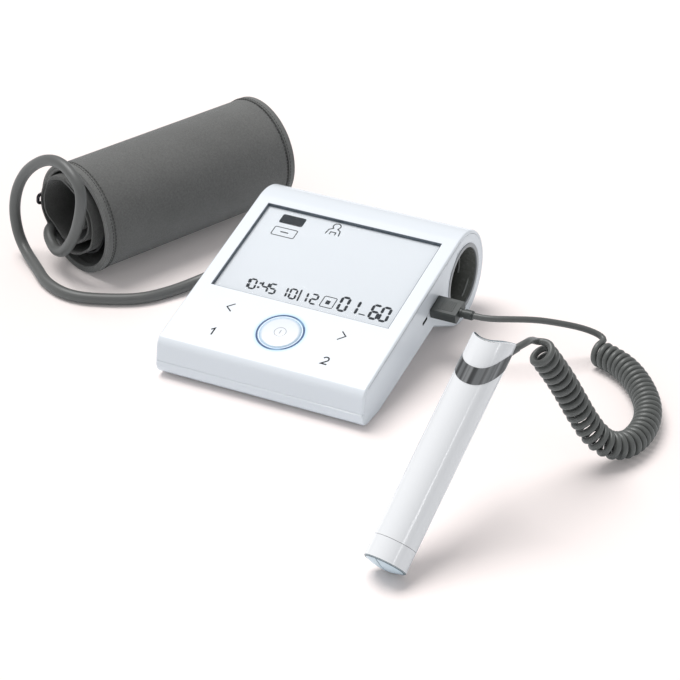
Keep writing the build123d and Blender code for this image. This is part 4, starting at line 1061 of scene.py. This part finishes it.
@dataclass
class Cuff:
    """The rolled arm cuff; lengths along it run out of its left end."""

    end: Point = (-196.4, 7.8, 39.6)
    heading: float = 67.5
    length: float = 166.0
    radius: float = 39.2
    binding: float = 5.0
    stitches: int = 96
    stitch: Point = (0.3, 1.6, 0.36)
    voxel: float = 1.7
    swell: float = 0.45
    air_pressure: float = 4.0
    air_frames: int = 12
    roll_centre: tuple[float, float] = (-3.74, 1.36)
    roll_radius: float = 30.0
    hollow_centre: tuple[float, float] = (-5.74, 8.86)
    hollow_radius: float = 20.6
    roll_turns: float = 2.35
    roll_start: float = -0.6
    roll_proud: float = 4.5
    roll_back: float = -154.0
    roll_grid: tuple[int, int] = (190, 40)
    sheet_radius: float = 25.0
    layer: float = 1.5

    @property
    def plane(self) -> Matrix:
        """The plane of the left end, facing out of it; its X points to the viewer's right."""
        turn = math.radians(self.heading)
        return tilted(self.end, Vector((math.sin(turn), -math.cos(turn), 0)),
                      Vector((-math.cos(turn), -math.sin(turn), 0)))

    def cloth_map(self, made: bpy.types.Object) -> None:
        """Gives a rolled piece a UV map in metres: round the roll and along it."""
        inverse = self.plane.inverted()
        layer = made.data.uv_layers.new(name="cloth")
        for polygon in made.data.polygons:
            centre = inverse @ polygon.center
            around = math.atan2(centre.y, centre.x)
            for loop in polygon.loop_indices:
                spot = inverse @ made.data.vertices[made.data.loops[loop].vertex_index].co
                angle = math.atan2(spot.y, spot.x)
                angle += FULL_TURN * round((around - angle) / FULL_TURN)
                reach = math.hypot(spot.x, spot.y)
                layer.data[loop].uv = (angle * self.radius * MM, spot.z + reach * 0.5)

    def inflate(self, made: bpy.types.Object) -> None:
        """Remeshes a fabric piece, lets air pressure fill it a little and applies the result."""
        modify(made, "even_mesh", "REMESH", mode="VOXEL", voxel_size=self.voxel * MM)
        apply_modifiers(made)
        start = [v.co.copy() for v in made.data.vertices]
        cloth = made.modifiers.new("air", "CLOTH")
        cloth.settings.use_pressure = True
        cloth.settings.uniform_pressure_force = self.air_pressure
        cloth.settings.effector_weights.gravity = 0.0
        cloth.settings.quality = 5
        cloth.point_cache.frame_start = 1
        cloth.point_cache.frame_end = self.air_frames
        scene = bpy.context.scene
        for count in range(1, self.air_frames + 1):
            scene.frame_set(count)
        apply_modifiers(made)
        scene.frame_set(1)
        for vertex, first in zip(made.data.vertices, start):
            step = vertex.co - first
            if step.length > self.swell * MM:
                vertex.co = first + step.normalized() * self.swell * MM

    def wrap(self) -> None:
        """The outer wrap, swollen a little by the bladder inside it."""
        made = settle_cad("cuff_wrap", CLOTH, Body.CUFF)
        made.modifiers.clear()
        self.inflate(made)
        made.data.shade_smooth()
        made.data.materials.clear()
        made.data.materials.append(CLOTH.material())
        self.cloth_map(made)

    def bindings(self) -> None:
        """The ribbons that bind both ends, with a seam beside each."""
        for node in ("cuff_left_binding", "cuff_right_binding"):
            self.cloth_map(settle_cad(node, RIBBON, Body.CUFF))
        beside, inside = self.binding + 1.3, self.binding - 1.0
        for name, along, out in (("left_seam", -beside, 0.25), ("left_ribbon_seam", -inside, 0.52),
                                 ("right_seam", beside - self.length, 0.25),
                                 ("right_ribbon_seam", inside - self.length, 0.52)):
            thread = Forge(self.plane)
            for index in range(self.stitches):
                made = bmesh.ops.create_cube(thread.mesh, size=1.0)["verts"]
                bmesh.ops.scale(thread.mesh, verts=made, vec=self.stitch)
                bmesh.ops.translate(thread.mesh, verts=made, vec=(self.radius + out, 0, along))
                turn = Matrix.Rotation(FULL_TURN * index / self.stitches, 3, "Z")
                bmesh.ops.rotate(thread.mesh, verts=made, cent=(0, 0, 0), matrix=turn)
            thread.piece(name, Body.CUFF, THREAD)

    def sheet_point(self, turn: float, part: float) -> Vector:
        """A point of the rolled sleeve.

        Args:
            turn: Turns from the sheet's inner edge.
            part: How far it lies from the ragged front edge to the back one, 0 to 1.

        Returns:
            The point in the end's plane.
        """
        share = turn / self.roll_turns
        angle = FULL_TURN * turn + self.roll_start
        x, y = math.cos(angle), math.sin(angle)
        ragged = 2.2 * noise.noise(Vector((x * 1.3, y * 1.3, turn * 1.7)))
        front = self.roll_proud + ragged + 1.2 * math.cos(angle - 2.8)
        along = front + (self.roll_back - front) * part
        spot = Vector((x * 1.4, y * 1.4, along * 0.012 + share * 3))
        crease = noise.noise(spot * 1.9) * (0.5 + 1.5 * max(0.0, -y))
        fine = noise.noise(Vector((spot.x * 5, spot.y * 5, along * 0.05))) * 0.45
        reach = self.hollow_radius + (self.roll_radius - self.hollow_radius) * share
        reach += (crease + fine) * (0.35 + 0.65 * (1 - share))
        centre = Vector(self.hollow_centre).lerp(Vector(self.roll_centre), share)
        return Vector((centre.x + reach * x, centre.y + reach * y, along))

    def inner_roll(self) -> None:
        """The sleeve inside: one sheet rolled up, its layers loose at the bottom."""
        steps, rows = self.roll_grid
        roll = Forge(self.plane)
        layer = roll.mesh.loops.layers.uv.new("cloth")
        bmesh.ops.create_grid(roll.mesh, x_segments=steps, y_segments=rows, size=0.5)
        for vertex in roll.mesh.verts:
            turn = (vertex.co.x + 0.5) * self.roll_turns
            vertex.co = self.sheet_point(turn, max(0.0, vertex.co.y + 0.5) ** 2.2)
            for loop in vertex.link_loops:
                loop[layer].uv = (turn * FULL_TURN * self.sheet_radius * MM, vertex.co.z * MM)
        bmesh.ops.recalc_face_normals(roll.mesh, faces=roll.mesh.faces)
        made = roll.loose("inner_sleeve")
        modify(made, "cloth_wall", "SOLIDIFY", thickness=self.layer * MM, offset=0.0)
        modify(made, "soft_hem", "BEVEL", width=0.5 * MM, segments=2, limit_method="ANGLE",
               angle_limit=math.radians(60))
        settle(made, Body.CUFF, CLOTH_INSIDE, "cuff_inner_wrap", sharp=80.0)

    def build(self) -> None:
        """Makes the cuff's pieces."""
        self.wrap()
        self.bindings()
        self.inner_roll()


@dataclass
class Stick:
    """The heart-rhythm stick."""

    foot: tuple[float, float] = (154.7, -225.3)
    azimuth: float = 81.1
    rise: float = 40.8
    radius: float = 13.3
    rim: float = 1.1
    crown: float = 2.2
    split: float = 0.9
    split_radius: float = 35.8
    rest_slope: float = 15.0
    rest_turn: float = 27.2
    line_inset: float = 0.35
    line_sweep: float = 72.0
    line_steps: int = 24

    @property
    def plane(self) -> Matrix:
        """The plane of the tail; its normal runs up the stick."""
        turn, rise = math.radians(self.azimuth), math.radians(self.rise)
        axis = Vector((math.cos(rise) * math.cos(turn), math.cos(rise) * math.sin(turn),
                       math.sin(rise)))
        return tilted((*self.foot, self.radius * math.cos(rise) + 0.05),
                      Vector((math.sin(turn), -math.cos(turn), 0)), axis)

    def tail(self) -> None:
        """The grey rim, and the two domed pads with a curved split between them."""
        inner, outer = self.radius - self.rim, self.radius + 0.02
        ring = Forge(self.plane)
        ring.turned([(inner, 0.6), (inner, 0.0), (inner + 0.35, -0.08), (self.radius - 0.3, 0.2),
                     (outer, 0.5), (outer, 0.8)], 96, closed=True)
        ring.piece("tail_rim", Body.STICK, TAIL_RIM)
        core = Forge(self.plane).turned(self.dome(inner - 0.1, self.crown - 0.45, 0.9), 72)
        core.piece("tail_core", Body.STICK, TAIL_RIM)
        curve = arc((0.8 - self.split_radius, 0.0), self.split_radius, -26, 26, 24)
        for name, side, shift in (("left", 1, 0.0), ("right", -1, self.split)):
            pad = Forge(self.plane).turned(self.dome(inner - 0.12, self.crown, 0.7), 72)
            edge = [(x + shift, y) for x, y in curve]
            edge += [(side * 30, edge[-1][1]), (side * 30, edge[0][1])]
            other = Forge(self.plane).outline(edge, 12, -6)
            pad.piece(f"tail_{name}_skin", Body.STICK, TAIL_PALE, f"tail_pad_{name}",
                      cut=other.loose("other_side"), bevel=0.12)

    def rim_line(self) -> None:
        """The fine dark line inside the far edge of the head's rest."""
        slope = math.radians(self.rest_slope)
        middle = sum(level for _, level in REST_LEVELS) / len(REST_LEVELS)
        ring = []
        for side, back in arc((0, 0), self.radius - self.line_inset, 90 + self.line_sweep,
                              90 - self.line_sweep, self.line_steps):
            rise = (self.rest_level(side) - middle) / math.cos(slope)
            ring.append(Vector((side, back, middle + rise + math.tan(slope) * back + 0.12)))
        turn = Matrix.Rotation(math.radians(self.rest_turn), 4, "Z")
        line = Forge(self.plane @ turn)
        for first, second in zip(ring, ring[1:]):
            out = Vector((first.x, first.y, 0)).normalized() * 0.3
            up = (second - first).cross(out).normalized() * 0.22
            line.drawn([first - out - up, first + out - up, first + out + up, first - out + up],
                       second - first)
        line.piece("rest_rim_line", Body.STICK, TAIL_RIM)

    def rest_level(self, side: float) -> float:
        """The rest's height at a place across it, on a smooth curve through REST_LEVELS."""
        index = sum(side > spot for spot, _ in REST_LEVELS[1:-1])
        first, second = REST_LEVELS[index], REST_LEVELS[index + 1]
        before = REST_LEVELS[max(index - 1, 0)]
        after = REST_LEVELS[min(index + 2, len(REST_LEVELS) - 1)]
        width = second[0] - first[0]
        part = (side - first[0]) / width
        start = (second[1] - before[1]) / (second[0] - before[0]) * width
        stop = (after[1] - first[1]) / (after[0] - first[0]) * width
        smooth = part * part * (3 - 2 * part)
        return (first[1] * (1 - smooth) + second[1] * smooth
                + start * part * (1 - part) ** 2 - stop * part * part * (1 - part))

    def dome(self, reach: float, crown: float, base: float) -> list[tuple[float, float]]:
        """The profile of a shallow dome that bulges out of the tail.

        Args:
            reach: The dome's radius.
            crown: Its height.
            base: How far its flat back lies inside the tail.

        Returns:
            Points of (radius, height).
        """
        top = [(reach * i / 12, -crown * (1 - (i / 12) ** 2.4)) for i in range(13)]
        return top + [(reach, base), (0.0, base)]

    def build(self) -> None:
        """Dresses the stick's pieces."""
        for node in ("stick_body", "stick_head", "stick_collar"):
            settle_cad(node, STICK_WHITE, Body.STICK)
        settle_cad("stick_band", DARK_CHROME, Body.STICK)
        self.tail()
        self.rim_line()


def dress_carried() -> None:
    """Gives the CAD nodes that stay their materials."""
    for finish, nodes in (
            (GRIP, ("ecg_plug_grip", "ecg_plug_relief")), (CORD, ("stick_relief",)),
            (BRIGHT, ("ecg_plug_shell",)), (DIFFUSER, ("backlight_plate",)),
            (BOARD, ("main_board", "stick_board")), (FOIL, ("touch_key_foil",)),
            (GREY, ("battery_tray", "hose_nipple", "air_plug")), (CELL, ("battery_cells",)),
            (STEEL, ("battery_contacts", "case_screws", "air_pump", "release_valve")),
            (RUBBER_FOOT, ("front_feet", "rear_feet")), (MILKY, ("inner_air_tubes",)),
            (DARK_WIRE, ("cuff_metal_bow",)),
            (BLACK, ("ecg_plug_insulator", "button_switch", "pressure_sensor", "buzzer",
                     "air_plug_o_ring", "cuff_bladder"))):
        for node in nodes:
            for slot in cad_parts[node].material_slots:
                slot.material = finish.material()


def main() -> None:
    """Builds the scene in order."""
    logging.basicConfig(level=logging.INFO, format="%(message)s")
    Studio().build()
    Cords().build()
    Cuff().build()
    Housing().build()
    Stick().build()
    dress_carried()


if __name__ == "__main__":
    main()
